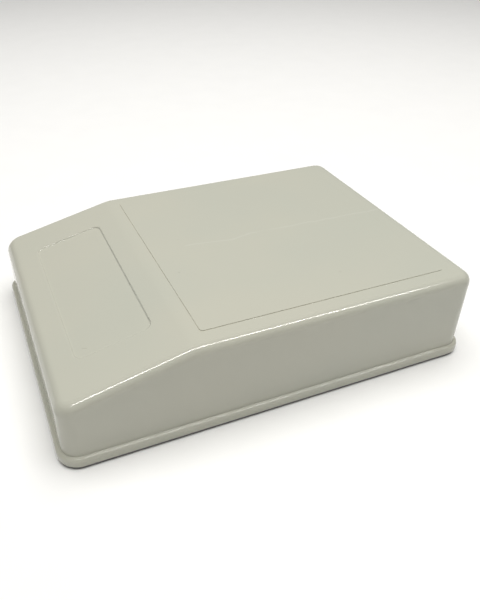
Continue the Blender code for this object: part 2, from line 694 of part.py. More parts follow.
def make_boom_caps():
    """Moulded end plugs, pushed into the ends of the boom."""
    half = BOOM_SIDE / 2
    plug = half - BOOM_WALL - GAP
    caps = []
    for name, end, way in (("boom_cap_front", BOOM_FRONT, 1), ("boom_cap_rear", BOOM_REAR, -1)):
        near = end + way * GAP
        far = near + way * CAP_HEAD
        inner = end - way * CAP_PLUG
        overlap = near + way * CAP_HEAD / 2
        head = block(
            (min(near, far), -half, BOOM_BOTTOM), (max(near, far), half, BOOM_TOP), name,
        )
        shank = block(
            (min(inner, overlap), -plug, BOOM_MIDDLE - plug),
            (max(inner, overlap), plug, BOOM_MIDDLE + plug),
        )
        caps.append(join(head, [shank]))
    return caps


def make_rods():
    """Reflector and directors: solid round rods that pass through the boom."""
    radius = ELEMENT_DIAMETER / 2
    edge = radius / 4
    rods = []
    for name, (x, length) in RODS.items():
        half = length / 2
        profile = [
            (-half, 0), (-half, radius - edge), (-half + edge, radius),
            (half - edge, radius), (half, radius - edge), (half, 0),
        ]
        rods.append(turned(profile, 16, (0, 1, 0), (x, 0, BOOM_MIDDLE), name))
    return rods


def make_bushes():
    """Insulating flanged bushes, one each side of the boom on every rod."""
    bore = ELEMENT_DIAMETER / 2 + GAP
    sleeve = bore + BUSH_WALL
    flange = sleeve + BUSH_FLANGE_EXTRA
    face = BOOM_SIDE / 2 + GAP
    profile = [
        (face - BUSH_SLEEVE, bore), (face - BUSH_SLEEVE, sleeve), (face, sleeve),
        (face, flange), (face + BUSH_FLANGE, flange), (face + BUSH_FLANGE, bore),
    ]
    bushes = []
    for name, (x, _) in RODS.items():
        for side, hand in ((-1, "right"), (1, "left")):
            bushes.append(turned(profile, 16, (0, side, 0), (x, 0, BOOM_MIDDLE), f"bush_{name}_{hand}"))
    return bushes


def make_folded_dipole():
    """Driven element: one rod bent into a flat loop, cut open where the cable feeds it."""
    half_straight = DRIVEN_LENGTH / 2 - DIPOLE_LOOP_RADIUS
    fed_side = -DIPOLE_LOOP_RADIUS
    turn_steps = 8
    points = [(fed_side, DIPOLE_FEED_GAP / 2), (fed_side, half_straight)]
    for step in range(1, turn_steps):
        angle = math.pi * step / turn_steps
        points.append((
            fed_side * math.cos(angle), half_straight + DIPOLE_LOOP_RADIUS * math.sin(angle),
        ))
    points.append((-fed_side, half_straight))
    mirrored = [(x, -y) for x, y in reversed(points)]
    return tube(
        [(x, y, 0) for x, y in points + mirrored], ELEMENT_DIAMETER / 2, 3,
        (DRIVEN_X, 0, DIPOLE_HEIGHT), "folded_dipole",
    )


def tube(points, radius, resolution, location, name):
    """Round bar or cable along a row of points, as a bevelled curve with closed ends."""
    curve = bpy.data.curves.new(name, "CURVE")
    curve.dimensions = "3D"
    spline = curve.splines.new("POLY")
    spline.points.add(len(points) - 1)
    for target, point in zip(spline.points, points):
        target.co = (*point, 1)
    curve.bevel_depth = radius
    curve.bevel_resolution = resolution
    curve.use_fill_caps = True
    item = bpy.data.objects.new(name, curve)
    item.location = location
    bpy.context.scene.collection.objects.link(item)
    return item


def make_supports():
    """Moulded posts that carry the boom on the floor, with a cheek each side of it."""
    half_boom = BOOM_SIDE / 2
    outer = half_boom + GAP + SUPPORT_CHEEK
    seat = BOOM_BOTTOM - GAP
    shapes = []
    for place, x in SUPPORTS.items():
        low = x - SUPPORT_LENGTH / 2
        high = x + SUPPORT_LENGTH / 2
        post = block(
            (low, -outer, FLOOR_TOP + GAP), (high, outer, seat + SUPPORT_CHEEK_HEIGHT),
            f"boom_support_{place}",
        )
        channel = block((low - GAP, -half_boom - GAP, seat), (high + GAP, half_boom + GAP, BOOM_TOP))
        boom_hole = rod((x, 0, seat - SUPPORT_SCREW_HOLD - GAP), (x, 0, seat + GAP),
                        PIN_RADIUS + HOLE_CLEARANCE, 12)
        tools = [channel, boom_hole]
        for number in (1, 2):
            spot = x + (number - 1.5) * SUPPORT_SCREW_PITCH
            tools.append(rod((spot, 0, FLOOR_TOP), (spot, 0, COUNTERBORE_DEPTH + SCREW_LENGTH + GAP),
                             SCREW_RADIUS + HOLE_CLEARANCE, 12))
        shapes.append(cut(post, tools))
    return shapes


def make_boom_pins():
    """Small pan-head screws on top of the boom and on the feed box's lugs."""
    screws = []
    for name, x, seat, tip in boom_pins():
        head = seat + GAP
        socket = PIN_HEAD_RADIUS * 0.45
        profile = [
            (tip - head, 0), (tip - head + PIN_RADIUS / 2, PIN_RADIUS), (0, PIN_RADIUS),
            (0, PIN_HEAD_RADIUS), (PIN_HEAD_HEIGHT * 0.6, PIN_HEAD_RADIUS),
            (PIN_HEAD_HEIGHT, PIN_HEAD_RADIUS * 0.75), (PIN_HEAD_HEIGHT, socket),
            (PIN_HEAD_HEIGHT / 2, socket), (PIN_HEAD_HEIGHT / 2, 0),
        ]
        screws.append(turned(profile, 12, (0, 0, 1), (x, 0, head), name))
    return screws


# ---- Feed box ----
def make_feed_box():
    """Open tray on top of the boom that holds the driven element, with a lug at each end."""
    half_x = FEED_BOX_LENGTH / 2
    half_y = FEED_BOX_WIDTH / 2
    top = FEED_FLOOR + FEED_BOX_HEIGHT
    lug_end = half_x + FEED_BOX_LUG
    box = block(
        (DRIVEN_X - half_x, -half_y, FEED_FLOOR), (DRIVEN_X + half_x, half_y, top), "feed_box",
    )
    lug = block(
        (DRIVEN_X - lug_end, -BOOM_SIDE / 2, FEED_FLOOR),
        (DRIVEN_X + lug_end, BOOM_SIDE / 2, FEED_FLOOR + FEED_BOX_WALL),
    )
    join(box, [lug])
    wall = FEED_BOX_WALL
    tools = [block(
        (DRIVEN_X - half_x + wall, -half_y + wall, FEED_FLOOR + wall),
        (DRIVEN_X + half_x - wall, half_y - wall, top + wall),
    )]
    slot = ELEMENT_DIAMETER / 2 + GAP
    for side in (-1, 1):
        x = DRIVEN_X + side * DIPOLE_LOOP_RADIUS
        tools.append(block(
            (x - slot, -half_y - wall, DIPOLE_HEIGHT - slot), (x + slot, half_y + wall, top + wall),
        ))
        lug_x = DRIVEN_X + side * (FEED_BOX_LENGTH + FEED_BOX_LUG) / 2
        tools.append(rod((lug_x, 0, BOOM_TOP), (lug_x, 0, DIPOLE_HEIGHT), PIN_RADIUS + HOLE_CLEARANCE, 12))
    entry = coax_route()[0]
    tools.append(rod((entry[0], entry[1], BOOM_TOP - wall), (entry[0], entry[1], FEED_FLOOR + 2 * wall),
                     COAX_RADIUS + GAP, 12))
    return cut(box, tools)


def make_feed_lid():
    """Flat lid of the feed box, with a plug that drops between its walls."""
    half_x = FEED_BOX_LENGTH / 2
    half_y = FEED_BOX_WIDTH / 2
    inset = FEED_BOX_WALL + GAP
    bottom = LID_TOP - FEED_LID_THICKNESS
    lid = block((DRIVEN_X - half_x, -half_y, bottom), (DRIVEN_X + half_x, half_y, LID_TOP), "feed_box_lid")
    plug = block(
        (DRIVEN_X - half_x + inset, -half_y + inset, bottom - FEED_LID_THICKNESS / 2),
        (DRIVEN_X + half_x - inset, half_y - inset, bottom + FEED_LID_THICKNESS / 2),
    )
    return join(lid, [plug])


def make_balun_board():
    """Small matching board on the floor of the feed box, under the gap in the loop."""
    bottom = FEED_FLOOR + FEED_BOX_WALL + GAP
    low_x = DRIVEN_X - FEED_BOX_LENGTH / 2 + FEED_BOX_WALL + GAP
    low_y = -FEED_BOX_WIDTH / 2 + FEED_BOX_WALL + GAP
    return block(
        (low_x, low_y, bottom),
        (low_x + BALUN_LENGTH, low_y + BALUN_WIDTH, bottom + BALUN_THICKNESS),
        "balun_board",
    )


# ---- Rear connector ----
def make_connector_block():
    """Moulded block that holds the connector; its nose fills the slot in the cover's rear wall."""
    half = BLOCK_HALF_WIDTH
    floor = FLOOR_TOP + GAP
    radius = BLOCK_NOSE_RADIUS
    plate_top = CONNECTOR_HEIGHT + radius + BLOCK_NOSE_CLEARANCE
    inner = (PLATE_REAR + PLATE_FRONT) / 2
    item = block((PLATE_REAR, -half, floor), (PLATE_FRONT, half, plate_top), "connector_block")
    foot = block(
        ((inner + PLATE_FRONT) / 2, -half, floor),
        (PLATE_FRONT + BLOCK_FOOT_LENGTH, half, floor + BLOCK_FOOT_HEIGHT),
    )
    relief_radius = NUT_ACROSS_CORNERS / 2 + 2 * GAP
    relief = block(
        (PLATE_FRONT, -relief_radius, floor + FLANGE_THICKNESS),
        (PLATE_FRONT + BLOCK_FOOT_LENGTH + GAP, relief_radius, plate_top),
    )
    nose = arched(NOSE_FACE, inner, radius, RIM_BOTTOM)
    step_up = block((before_rear(INNER_INSET), -2 * radius, 0), (inner + WALL, 2 * radius, floor))
    join(item, [cut(nose, [step_up]), foot])
    tools = [relief]
    tools.append(rod(
        (NOSE_FACE - WALL, 0, CONNECTOR_HEIGHT), (PLATE_FRONT + WALL, 0, CONNECTOR_HEIGHT),
        JACK_RADIUS + GAP, 24,
    ))
    for number in (1, 2):
        y = (number - 1.5) * BLOCK_SCREW_PITCH
        screw_tip = COUNTERBORE_DEPTH + SCREW_LENGTH
        tools.append(rod((FOOT_MIDDLE, y, FLOOR_TOP), (FOOT_MIDDLE, y, screw_tip + GAP),
                         SCREW_RADIUS + HOLE_CLEARANCE, 12))
    return cut(item, tools)


def make_jack():
    """Bulkhead coaxial jack, turned parts along one axis, measured forward from the nose's face."""
    here = (NOSE_FACE, 0, CONNECTOR_HEIGHT)
    forward = (1, 0, 0)
    seat = -GAP - O_RING_THICKNESS - GAP
    flange = seat - JACK_FLANGE_THICKNESS
    tip = flange - JACK_REACH
    tail = JACK_TAIL_END - NOSE_FACE
    shoulder = tail - JACK_TAIL
    socket_end = tip + JACK_SLEEVE_DEPTH
    body = turned([
        (tip, JACK_SLEEVE_BORE), (tip, JACK_RADIUS - JACK_CHAMFER), (tip + JACK_CHAMFER, JACK_RADIUS),
        (flange, JACK_RADIUS), (flange, JACK_FLANGE_RADIUS), (seat, JACK_FLANGE_RADIUS),
        (seat, JACK_RADIUS), (shoulder, JACK_RADIUS), (shoulder, JACK_TAIL_RADIUS),
        (tail, JACK_TAIL_RADIUS), (tail, JACK_TAIL_BORE), (shoulder, JACK_TAIL_BORE),
        (shoulder, JACK_BORE), (socket_end, JACK_BORE), (socket_end, JACK_SLEEVE_BORE),
    ], 24, forward, here, "jack_body")
    insulator_front = socket_end - JACK_CHAMFER
    insulator = turned([
        (insulator_front, CONTACT_RADIUS + GAP), (insulator_front, JACK_BORE - GAP),
        (shoulder - GAP, JACK_BORE - GAP), (shoulder - GAP, CONTACT_RADIUS + GAP),
    ], 20, forward, here, "jack_insulator")
    slot = CONTACT_RADIUS * 0.55
    contact = turned([
        (tip + 2 * JACK_CHAMFER, slot), (tip + 2 * JACK_CHAMFER, CONTACT_RADIUS),
        (shoulder - GAP, CONTACT_RADIUS), (shoulder - GAP, 0),
        (socket_end, 0), (socket_end, slot),
    ], 14, forward, here, "jack_contact")
    ring_outside = JACK_FLANGE_RADIUS - JACK_CHAMFER
    o_ring = turned([
        (-GAP - O_RING_THICKNESS, JACK_RADIUS + GAP), (-GAP - O_RING_THICKNESS, ring_outside),
        (-GAP, ring_outside), (-GAP, JACK_RADIUS + GAP),
    ], 24, forward, here, "jack_o_ring")
    washer_rear = PLATE_FRONT - NOSE_FACE + GAP
    washer_front = washer_rear + WASHER_THICKNESS
    washer = turned([
        (washer_rear, JACK_RADIUS + GAP), (washer_rear, NUT_ACROSS_CORNERS / 2),
        (washer_front, NUT_ACROSS_CORNERS / 2), (washer_front, JACK_RADIUS + GAP),
    ], 24, forward, here, "jack_washer")
    nut = rod(
        (NUT_REAR, 0, CONNECTOR_HEIGHT), (NUT_REAR + NUT_THICKNESS, 0, CONNECTOR_HEIGHT),
        NUT_ACROSS_CORNERS / 2, 6, "jack_nut",
    )
    bore = rod(
        (NUT_REAR - WALL, 0, CONNECTOR_HEIGHT), (NUT_REAR + NUT_THICKNESS + WALL, 0, CONNECTOR_HEIGHT),
        JACK_RADIUS + GAP, 24,
    )
    return [body, insulator, contact, o_ring, washer, cut(nut, [bore])]


def coax_route():
    """Cable's own points, from the feed box down beside the boom and back into the jack."""
    beside = BOOM_SIDE / 2 + SUPPORT_CHEEK + 3 * GAP + COAX_RADIUS + COAX_CLEARANCE
    start_x = DRIVEN_X - FEED_BOX_LENGTH / 2 + FEED_BOX_WALL + 0.004
    climb = CONNECTOR_HEIGHT - COAX_HEIGHT
    return [
        (start_x, beside, FEED_FLOOR + FEED_BOX_WALL + 0.001),
        (start_x, beside, FEED_FLOOR - 0.002),
        (start_x - 0.0005, beside, BOOM_MIDDLE + 0.002),
        (start_x - 0.0045, beside, COAX_HEIGHT + 0.0035),
        (start_x - 0.012, beside, COAX_HEIGHT + 0.0005),
        (start_x - 0.022, beside - 0.0005, COAX_HEIGHT),
        (BOOM_REAR + 0.002, beside, COAX_HEIGHT),
        (BOOM_REAR - 0.0032, beside - 0.003, COAX_HEIGHT + 0.35 * climb),
        (JACK_TAIL_END + 0.0024, 0.0026, COAX_HEIGHT + 0.85 * climb),
        (JACK_TAIL_END + 0.0004, 0, CONNECTOR_HEIGHT),
        (JACK_TAIL_END - JACK_TAIL + GAP, 0, CONNECTOR_HEIGHT),
    ]


def smooth_through(points, steps):
    """Catmull-Rom curve through the points, with a few places between each pair."""
    padded = [points[0]] + points + [points[-1]]
    padded = [Vector(point) for point in padded]
    result = []
    for before, start, end, after in zip(padded, padded[1:], padded[2:], padded[3:]):
        for step in range(steps):
            t = step / steps
            result.append(0.5 * (
                2 * start + (end - before) * t
                + (2 * before - 5 * start + 4 * end - after) * t ** 2
                + (3 * start - before - 3 * end + after) * t ** 3
            ))
    result.append(padded[-1])
    return result


def make_coax():
    return tube(smooth_through(coax_route(), 3), COAX_RADIUS, 2, (0, 0, 0), "coax_pigtail")


# ---- Assembly ----
BEIGE_PLASTIC = ((0.60, 0.59, 0.51), 0.30, 0.0)
GREY_PLASTIC = ((0.06, 0.06, 0.065), 0.50, 0.0)
BLACK_RUBBER = ((0.015, 0.015, 0.015), 0.80, 0.0)
WHITE_NYLON = ((0.72, 0.71, 0.67), 0.45, 0.0)
ALUMINIUM = ((0.72, 0.73, 0.74), 0.35, 1.0)
STEEL = ((0.60, 0.60, 0.60), 0.30, 1.0)
BRASS = ((0.72, 0.55, 0.28), 0.32, 1.0)
NICKEL = ((0.66, 0.65, 0.61), 0.22, 1.0)
BOARD_GREEN = ((0.03, 0.14, 0.07), 0.50, 0.0)
FLUOROPOLYMER = ((0.85, 0.85, 0.83), 0.40, 0.0)


def main():
    clear_scene()
    base_assembly = bpy.data.objects.new("base_assembly", None)
    cover_assembly = bpy.data.objects.new("cover_assembly", None)
    for empty in (base_assembly, cover_assembly):
        bpy.context.scene.collection.objects.link(empty)

    finish(make_cover(), *BEIGE_PLASTIC, cover_assembly)
    finish(make_gasket(), *BLACK_RUBBER, cover_assembly)

    on_base = [
        ([make_base_plate(), make_connector_block()], GREY_PLASTIC),
        (make_base_screws(), STEEL),
        (make_mast_inserts(), BRASS),
        ([make_vent_plug()], BLACK_RUBBER),
        ([make_boom()], ALUMINIUM),
        (make_boom_caps(), GREY_PLASTIC),
        (make_rods(), ALUMINIUM),
        (make_bushes(), WHITE_NYLON),
        ([make_folded_dipole()], ALUMINIUM),
        (make_supports(), WHITE_NYLON),
        (make_boom_pins(), STEEL),
        ([make_feed_box(), make_feed_lid()], GREY_PLASTIC),
        ([make_balun_board()], BOARD_GREEN),
    ]
    jack_body, insulator, contact, o_ring, washer, nut = make_jack()
    on_base += [
        ([jack_body, washer, nut], NICKEL),
        ([insulator], FLUOROPOLYMER),
        ([contact], BRASS),
        ([o_ring], BLACK_RUBBER),
        ([make_coax()], BLACK_RUBBER),
    ]
    for pieces, look in on_base:
        for piece in pieces:
            finish(piece, *look, base_assembly)


main()
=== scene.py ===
import math

import bmesh
import bpy
from mathutils import Euler, Matrix, Vector


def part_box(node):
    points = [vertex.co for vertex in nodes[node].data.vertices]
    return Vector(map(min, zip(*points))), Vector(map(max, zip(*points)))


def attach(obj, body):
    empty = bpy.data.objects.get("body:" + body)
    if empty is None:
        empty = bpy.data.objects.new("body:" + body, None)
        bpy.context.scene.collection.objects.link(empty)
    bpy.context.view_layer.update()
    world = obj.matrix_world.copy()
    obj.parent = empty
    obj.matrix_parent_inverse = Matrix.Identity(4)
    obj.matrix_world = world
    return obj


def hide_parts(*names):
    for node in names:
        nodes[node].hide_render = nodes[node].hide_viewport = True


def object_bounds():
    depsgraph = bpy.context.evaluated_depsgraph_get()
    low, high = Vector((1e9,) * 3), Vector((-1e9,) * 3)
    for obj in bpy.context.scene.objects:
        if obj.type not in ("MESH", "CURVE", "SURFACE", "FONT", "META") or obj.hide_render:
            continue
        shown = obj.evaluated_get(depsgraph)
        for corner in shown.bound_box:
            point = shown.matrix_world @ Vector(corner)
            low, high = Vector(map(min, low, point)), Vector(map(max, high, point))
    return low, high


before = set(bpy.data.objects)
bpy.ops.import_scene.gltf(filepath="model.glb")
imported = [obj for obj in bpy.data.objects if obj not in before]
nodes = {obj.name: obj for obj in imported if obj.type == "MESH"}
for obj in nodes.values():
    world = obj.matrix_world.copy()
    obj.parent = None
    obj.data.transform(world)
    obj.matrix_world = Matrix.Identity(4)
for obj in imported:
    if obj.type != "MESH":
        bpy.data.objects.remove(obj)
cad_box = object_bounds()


# ---- Camera, lights and table ----
# The antenna lies on a pale table, seen from above its connector end. A wide soft box hangs
# over it, and a long tube lamp high up beside it draws the thin bright line along its top edge.
MM = 0.001
scene = bpy.context.scene

camera_data = bpy.data.cameras.new("camera")
camera_data.lens = 36.03
camera_data.sensor_width = 36.0
camera_data.shift_x = 0.0343
camera_data.shift_y = 0.0294
camera = bpy.data.objects.new("camera", camera_data)
camera.location = (0.14107, 0.32274, 0.26527)
camera.rotation_euler = Euler((math.radians(52.783), math.radians(-0.503), math.radians(157.026)))
scene.collection.objects.link(camera)
scene.camera = camera
scene.view_settings.view_transform = "Standard"

# The room is a dim even fill, and a pale backdrop where the camera looks past the table.
warm_white = (1.0, 0.99, 0.965)
room = bpy.data.worlds.new("room")
room.use_nodes = True
fill = room.node_tree.nodes["Background"]
fill.inputs["Color"].default_value = (*warm_white, 1)
fill.inputs["Strength"].default_value = 0.17
backdrop = room.node_tree.nodes.new("ShaderNodeBackground")
backdrop.inputs["Color"].default_value = (1.0, 1.0, 1.0, 1)
backdrop.inputs["Strength"].default_value = 0.92
seen = room.node_tree.nodes.new("ShaderNodeLightPath")
choice = room.node_tree.nodes.new("ShaderNodeMixShader")
for output, into in (
    (seen.outputs["Is Camera Ray"], choice.inputs[0]),
    (fill.outputs[0], choice.inputs[1]),
    (backdrop.outputs[0], choice.inputs[2]),
    (choice.outputs[0], room.node_tree.nodes["World Output"].inputs["Surface"]),
):
    room.node_tree.links.new(output, into)
scene.world = room


def soft_light(name, place, tilt, length, width, power):
    """Rectangular light that hangs with its length along X, tilted about that length."""
    lamp = bpy.data.lights.new(name, "AREA")
    lamp.shape = "RECTANGLE"
    lamp.size = length
    lamp.size_y = width
    lamp.energy = power
    lamp.color = warm_white
    holder = bpy.data.objects.new(name, lamp)
    holder.location = place
    holder.rotation_euler = Euler((math.radians(tilt), 0, 0))
    scene.collection.objects.link(holder)
    return holder


soft_box = soft_light("soft_box", (-0.1, -0.08, 1.7), 0, 1.7, 1.6, 38.0)
soft_box.visible_glossy = False
tube_lamp = soft_light("tube_lamp", (-0.30, 0.66, 1.84), -20, 2.5, 0.16, 40.0)
tube_lamp.visible_diffuse = False

table_mesh = bpy.data.meshes.new("table_top")
shape = bmesh.new()
bmesh.ops.create_grid(shape, x_segments=1, y_segments=1, size=3.0)
bmesh.ops.translate(shape, vec=(0, 0, cad_box[0].z - 0.1 * MM), verts=shape.verts)
shape.to_mesh(table_mesh)
shape.free()
table_top = bpy.data.objects.new("table_top", table_mesh)
scene.collection.objects.link(table_top)


class Value:
    """One socket of a material, so that shading can be written as sums."""

    def __init__(self, finish, socket):
        self.finish = finish
        self.socket = socket

    def _math(self, operation, *inputs):
        return self.finish.node("ShaderNodeMath", {"operation": operation}, *inputs)

    def __add__(self, other):
        return self._math("ADD", self, other)

    __radd__ = __add__

    def __sub__(self, other):
        return self._math("SUBTRACT", self, other)

    def __rsub__(self, other):
        return self._math("SUBTRACT", other, self)

    def __mul__(self, other):
        return self._math("MULTIPLY", self, other)

    __rmul__ = __mul__

    def __abs__(self):
        return self._math("ABSOLUTE", self)

    def __pow__(self, other):
        return self._math("POWER", self, other)


class Finish:
    """A material made of nodes on the piece's own Object coordinates, in metres."""

    def __init__(self, name, metallic=0.0, **uniform):
        self.material = bpy.data.materials.new(name)
        self.material.use_nodes = True
        self.nodes = self.material.node_tree.nodes
        self.links = self.material.node_tree.links
        self.shader = self.nodes["Principled BSDF"]
        self.shader.inputs["Metallic"].default_value = metallic
        for socket, value in uniform.items():
            self.shader.inputs[socket.replace("_", " ").title()].default_value = value
        self.place = self.node("ShaderNodeTexCoord", {}, output="Object")
        self.x = self.node("ShaderNodeSeparateXYZ", {}, self.place, output="X")
        self.y = self.node("ShaderNodeSeparateXYZ", {}, self.place, output="Y")
        self.z = self.node("ShaderNodeSeparateXYZ", {}, self.place, output="Z")

    def node(self, kind, settings, *inputs, output=0, **named):
        """Adds a node: its settings first, then the values or links of its sockets."""
        made = self.nodes.new(kind)
        for key, value in settings.items():
            setattr(made, key, value)
        pairs = list(enumerate(inputs)) + list(named.items())
        for key, value in pairs:
            if isinstance(value, Value):
                self.links.new(value.socket, made.inputs[key])
            elif value is not None:
                made.inputs[key].default_value = value
        return Value(self, made.outputs[output])

    def noise(self, scale, detail=2.0, stretch=(1, 1, 1)):
        """Soft random number about 0.5, with a scale in features for each metre."""
        spread = self.node("ShaderNodeMapping", {}, self.place, Scale=stretch)
        return self.node("ShaderNodeTexNoise", {}, spread, Scale=scale, Detail=detail)

    def specks(self, scale, size):
        """Sparse round specks: 1 at the middle of a speck and 0 away from it."""
        distance = self.node("ShaderNodeTexVoronoi", {}, self.place, Scale=scale)
        return self.between(distance, size, 0.0)

    def between(self, value, low, high):
        """Runs smoothly from 0 where the value is at low to 1 where it is at high."""
        return self.node(
            "ShaderNodeMapRange", {"interpolation_type": "SMOOTHSTEP"}, value, low, high, 0.0, 1.0
        )

    def spot(self, x, y, radius):
        """1 at a small round mark, seen from above, and 0 away from it."""
        across = self.x - x
        along = self.y - y
        return self.between((across * across + along * along) ** 0.5, radius, 0.4 * radius)

    def worn_edges(self, radius, strength):
        """1 on outer edges within a radius, 0 on flat faces."""
        rounded = self.node("ShaderNodeBevel", {"samples": 4}, Radius=radius)
        plain = self.node("ShaderNodeNewGeometry", {}, output="Normal")
        along = self.node(
            "ShaderNodeVectorMath", {"operation": "DOT_PRODUCT"}, rounded, plain, output="Value"
        )
        return self.between(1 - along, 0.0, 1 / strength)

    def mix(self, share, first, second):
        """Blends two colours by a share from 0 to 1."""
        colours = [c if isinstance(c, Value) else (*c, 1) for c in (first, second)]
        made = self.nodes.new("ShaderNodeMix")
        made.data_type = "RGBA"
        for key, value in ((0, share), (6, colours[0]), (7, colours[1])):
            if isinstance(value, Value):
                self.links.new(value.socket, made.inputs[key])
            else:
                made.inputs[key].default_value = value
        return Value(self, made.outputs[2])

    def surface(self, colour, roughness, height, depth):
        """Feeds the shader: a colour, a roughness, and a relief of a depth in metres."""
        self.links.new(colour.socket, self.shader.inputs["Base Color"])
        self.links.new(roughness.socket, self.shader.inputs["Roughness"])
        bump = self.node("ShaderNodeBump", {}, Height=height, Distance=depth, Strength=1.0)
        self.links.new(bump.socket, self.shader.inputs["Normal"])
        return self.material


def bevel(shape, edges, width, segments, clamp=True):
    bmesh.ops.bevel(
        shape, geom=list(edges), offset=width, offset_type="OFFSET", segments=segments,
        profile=0.5, affect="EDGES", material=-1, clamp_overlap=clamp,
    )


def sharp_edges(shape, degrees=35):
    """Edges where two faces meet at more than an angle."""
    limit = math.radians(degrees)
    return [e for e in shape.edges if e.is_manifold and e.calc_face_angle() > limit]


def add_piece(name, shape, material, body, stands_for=()):
    """Makes a finished bmesh a piece at the origin that rides on a body of the frame."""
    mesh = bpy.data.meshes.new(name)
    shape.to_mesh(mesh)
    shape.free()
    mesh.materials.append(material)
    mesh.shade_smooth()
    mesh.set_sharp_from_angle(angle=math.radians(40))
    piece = bpy.data.objects.new(name, mesh)
    scene.collection.objects.link(piece)
    flat = piece.modifiers.new("flat_faces", "WEIGHTED_NORMAL")
    flat.keep_sharp = True
    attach(piece, body)
    if stands_for:
        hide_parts(*stands_for)
    return piece


def flat_faced(node):
    """Copy of a CAD solid with its loose triangles merged into flat faces."""
    shape = bmesh.new()
    shape.from_mesh(nodes[node].data)
    bmesh.ops.remove_doubles(shape, verts=shape.verts, dist=0.001 * MM)
    bmesh.ops.dissolve_limit(shape, angle_limit=math.radians(0.5), verts=shape.verts, edges=shape.edges)
    return shape


def softened(node, width, segments=2):
    """Copy of a CAD solid with flat faces and rounded edges."""
    shape = flat_faced(node)
    bevel(shape, sharp_edges(shape), width, segments)
    return shape


def dark_plastic(name, colour):
    """Glass-filled plastic: a fine even texture, faint mottling and paler rubbed edges."""
    finish = Finish(name)
    mottling = finish.noise(60, 3.0)
    grain = finish.noise(2600, 2.0)
    rubbed = finish.worn_edges(0.5 * MM, 4) * finish.noise(220)
    pale = [c * 2.6 + 0.02 for c in colour]
    deep = [c * 0.72 for c in colour]
    base = finish.mix(mottling, deep, [c * 1.2 for c in colour])
    return finish.surface(finish.mix(rubbed * 0.7, base, pale), 0.42 + 0.2 * grain, grain, 0.05 * MM)


base_grey = dark_plastic("base_grey", (0.160, 0.160, 0.163))
add_piece(
    "base_plate_moulding", softened("base_plate", 0.22 * MM), base_grey,
    "base", ["base_plate"],
)


# ---- Mast inserts ----
# Four knurled brass inserts with M6 threads, heat-staked into the bosses of the base plate just
# below its face. The bracket of the mast bolts to them.
def turned(profile, steps, centre, direction):
    """Solid of revolution through (distance along, radius) points, about an axis through a centre."""
    shape = bmesh.new()
    points = [shape.verts.new((radius, 0, along)) for along, radius in profile]
    edges = [shape.edges.new(pair) for pair in zip(points, points[1:])]
    if profile[0][1] > 0:
        edges.append(shape.edges.new((points[-1], points[0])))
    bmesh.ops.spin(
        shape, geom=points + edges, cent=(0, 0, 0), axis=(0, 0, 1),
        angle=math.tau, steps=steps, use_merge=True,
    )
    bmesh.ops.remove_doubles(shape, verts=shape.verts, dist=0.0001 * MM)
    turn = Vector(direction).to_track_quat("Z", "Y").to_matrix().to_4x4()
    bmesh.ops.transform(shape, matrix=Matrix.Translation(centre) @ turn, verts=shape.verts)
    bmesh.ops.recalc_face_normals(shape, faces=shape.faces)
    return shape


def threaded(start, end, pitch, crest, root):
    """Profile points of a thread between two places along an axis."""
    points = []
    for turn in range(round((end - start) / pitch)):
        low = start + turn * pitch
        points += [(low, root), (low + 0.4 * pitch, crest), (low + 0.6 * pitch, crest)]
    return points + [(end, root)]


def bare_metal(name, colour, roughness, brushed, scale=500):
    """Machined or plated metal: fine lines round or along it, faint stains and finger marks."""
    finish = Finish(name, metallic=1.0)
    lines = finish.noise(scale, 3.0, brushed)
    stains = finish.noise(90, 4.0)
    deep = [c * 0.8 for c in colour]
    shade = finish.mix(finish.between(stains, 0.35, 0.75), colour, deep)
    return finish.surface(shade, roughness + 0.12 * lines + 0.12 * stains, lines, 0.012 * MM)


insert_brass = bare_metal("insert_brass", (0.72, 0.53, 0.25), 0.2, (1, 1, 6))
knurl_teeth = 28
insert_pitch = 1 * MM
for number in range(1, 5):
    low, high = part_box(f"mast_insert_{number}")
    centre = (low + high) / 2
    radius = (high.x - low.x) / 2
    bore = 2.6 * MM
    length = high.z - low.z
    waist = (0.42 * length, 0.56 * length)
    inside = threaded(0.6 * MM, length - 0.5 * MM, insert_pitch, bore - 0.05 * MM, bore + 0.35 * MM)
    profile = [
        (0, bore + 0.5 * MM), (0, radius - 0.4 * MM), (0.3 * MM, radius - 0.1 * MM),
        (waist[0], radius - 0.1 * MM), (waist[0] + 0.3 * MM, radius - 0.6 * MM),
        (waist[1] - 0.3 * MM, radius - 0.6 * MM), (waist[1], radius - 0.1 * MM),
        (length - 0.4 * MM, radius - 0.1 * MM), (length, radius - 0.5 * MM), (length, bore + 0.5 * MM),
    ] + inside[::-1]
    shape = turned(profile, 2 * knurl_teeth, (centre.x, centre.y, low.z), (0, 0, 1))
    add_piece(
        f"brass_insert_{number}", shape, insert_brass, "base", [f"mast_insert_{number}"],
    )


# ---- Vent plug ----
# A black rubber breather pressed into the floor from below. Its dished face has a ring of
# slots that let the housing dry out.
rubber = Finish("seal_rubber")
bloom = rubber.noise(140, 4.0)
rubber_skin = rubber.noise(3000, 1.0)
black_rubber = rubber.surface(
    rubber.mix(bloom, (0.010, 0.010, 0.011), (0.036, 0.035, 0.034)),
    0.55 + 0.25 * bloom, rubber_skin, 0.02 * MM,
)
low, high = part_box("vent_plug")
centre = (low + high) / 2
flange = (high.x - low.x) / 2
plug = 4.0 * MM
depth = high.z - low.z
shape = turned([
    (0.5 * MM, 0), (0.5 * MM, 2.2 * MM), (0.15 * MM, 2.6 * MM), (0, 3.2 * MM), (0, flange - 0.9 * MM),
    (0.15 * MM, flange - 0.35 * MM), (0.5 * MM, flange), (1.2 * MM, flange), (1.2 * MM, plug),
    (depth - 0.6 * MM, plug), (depth, plug - 0.5 * MM), (depth, 0),
], 48, (centre.x, centre.y, low.z), (0, 0, 1))
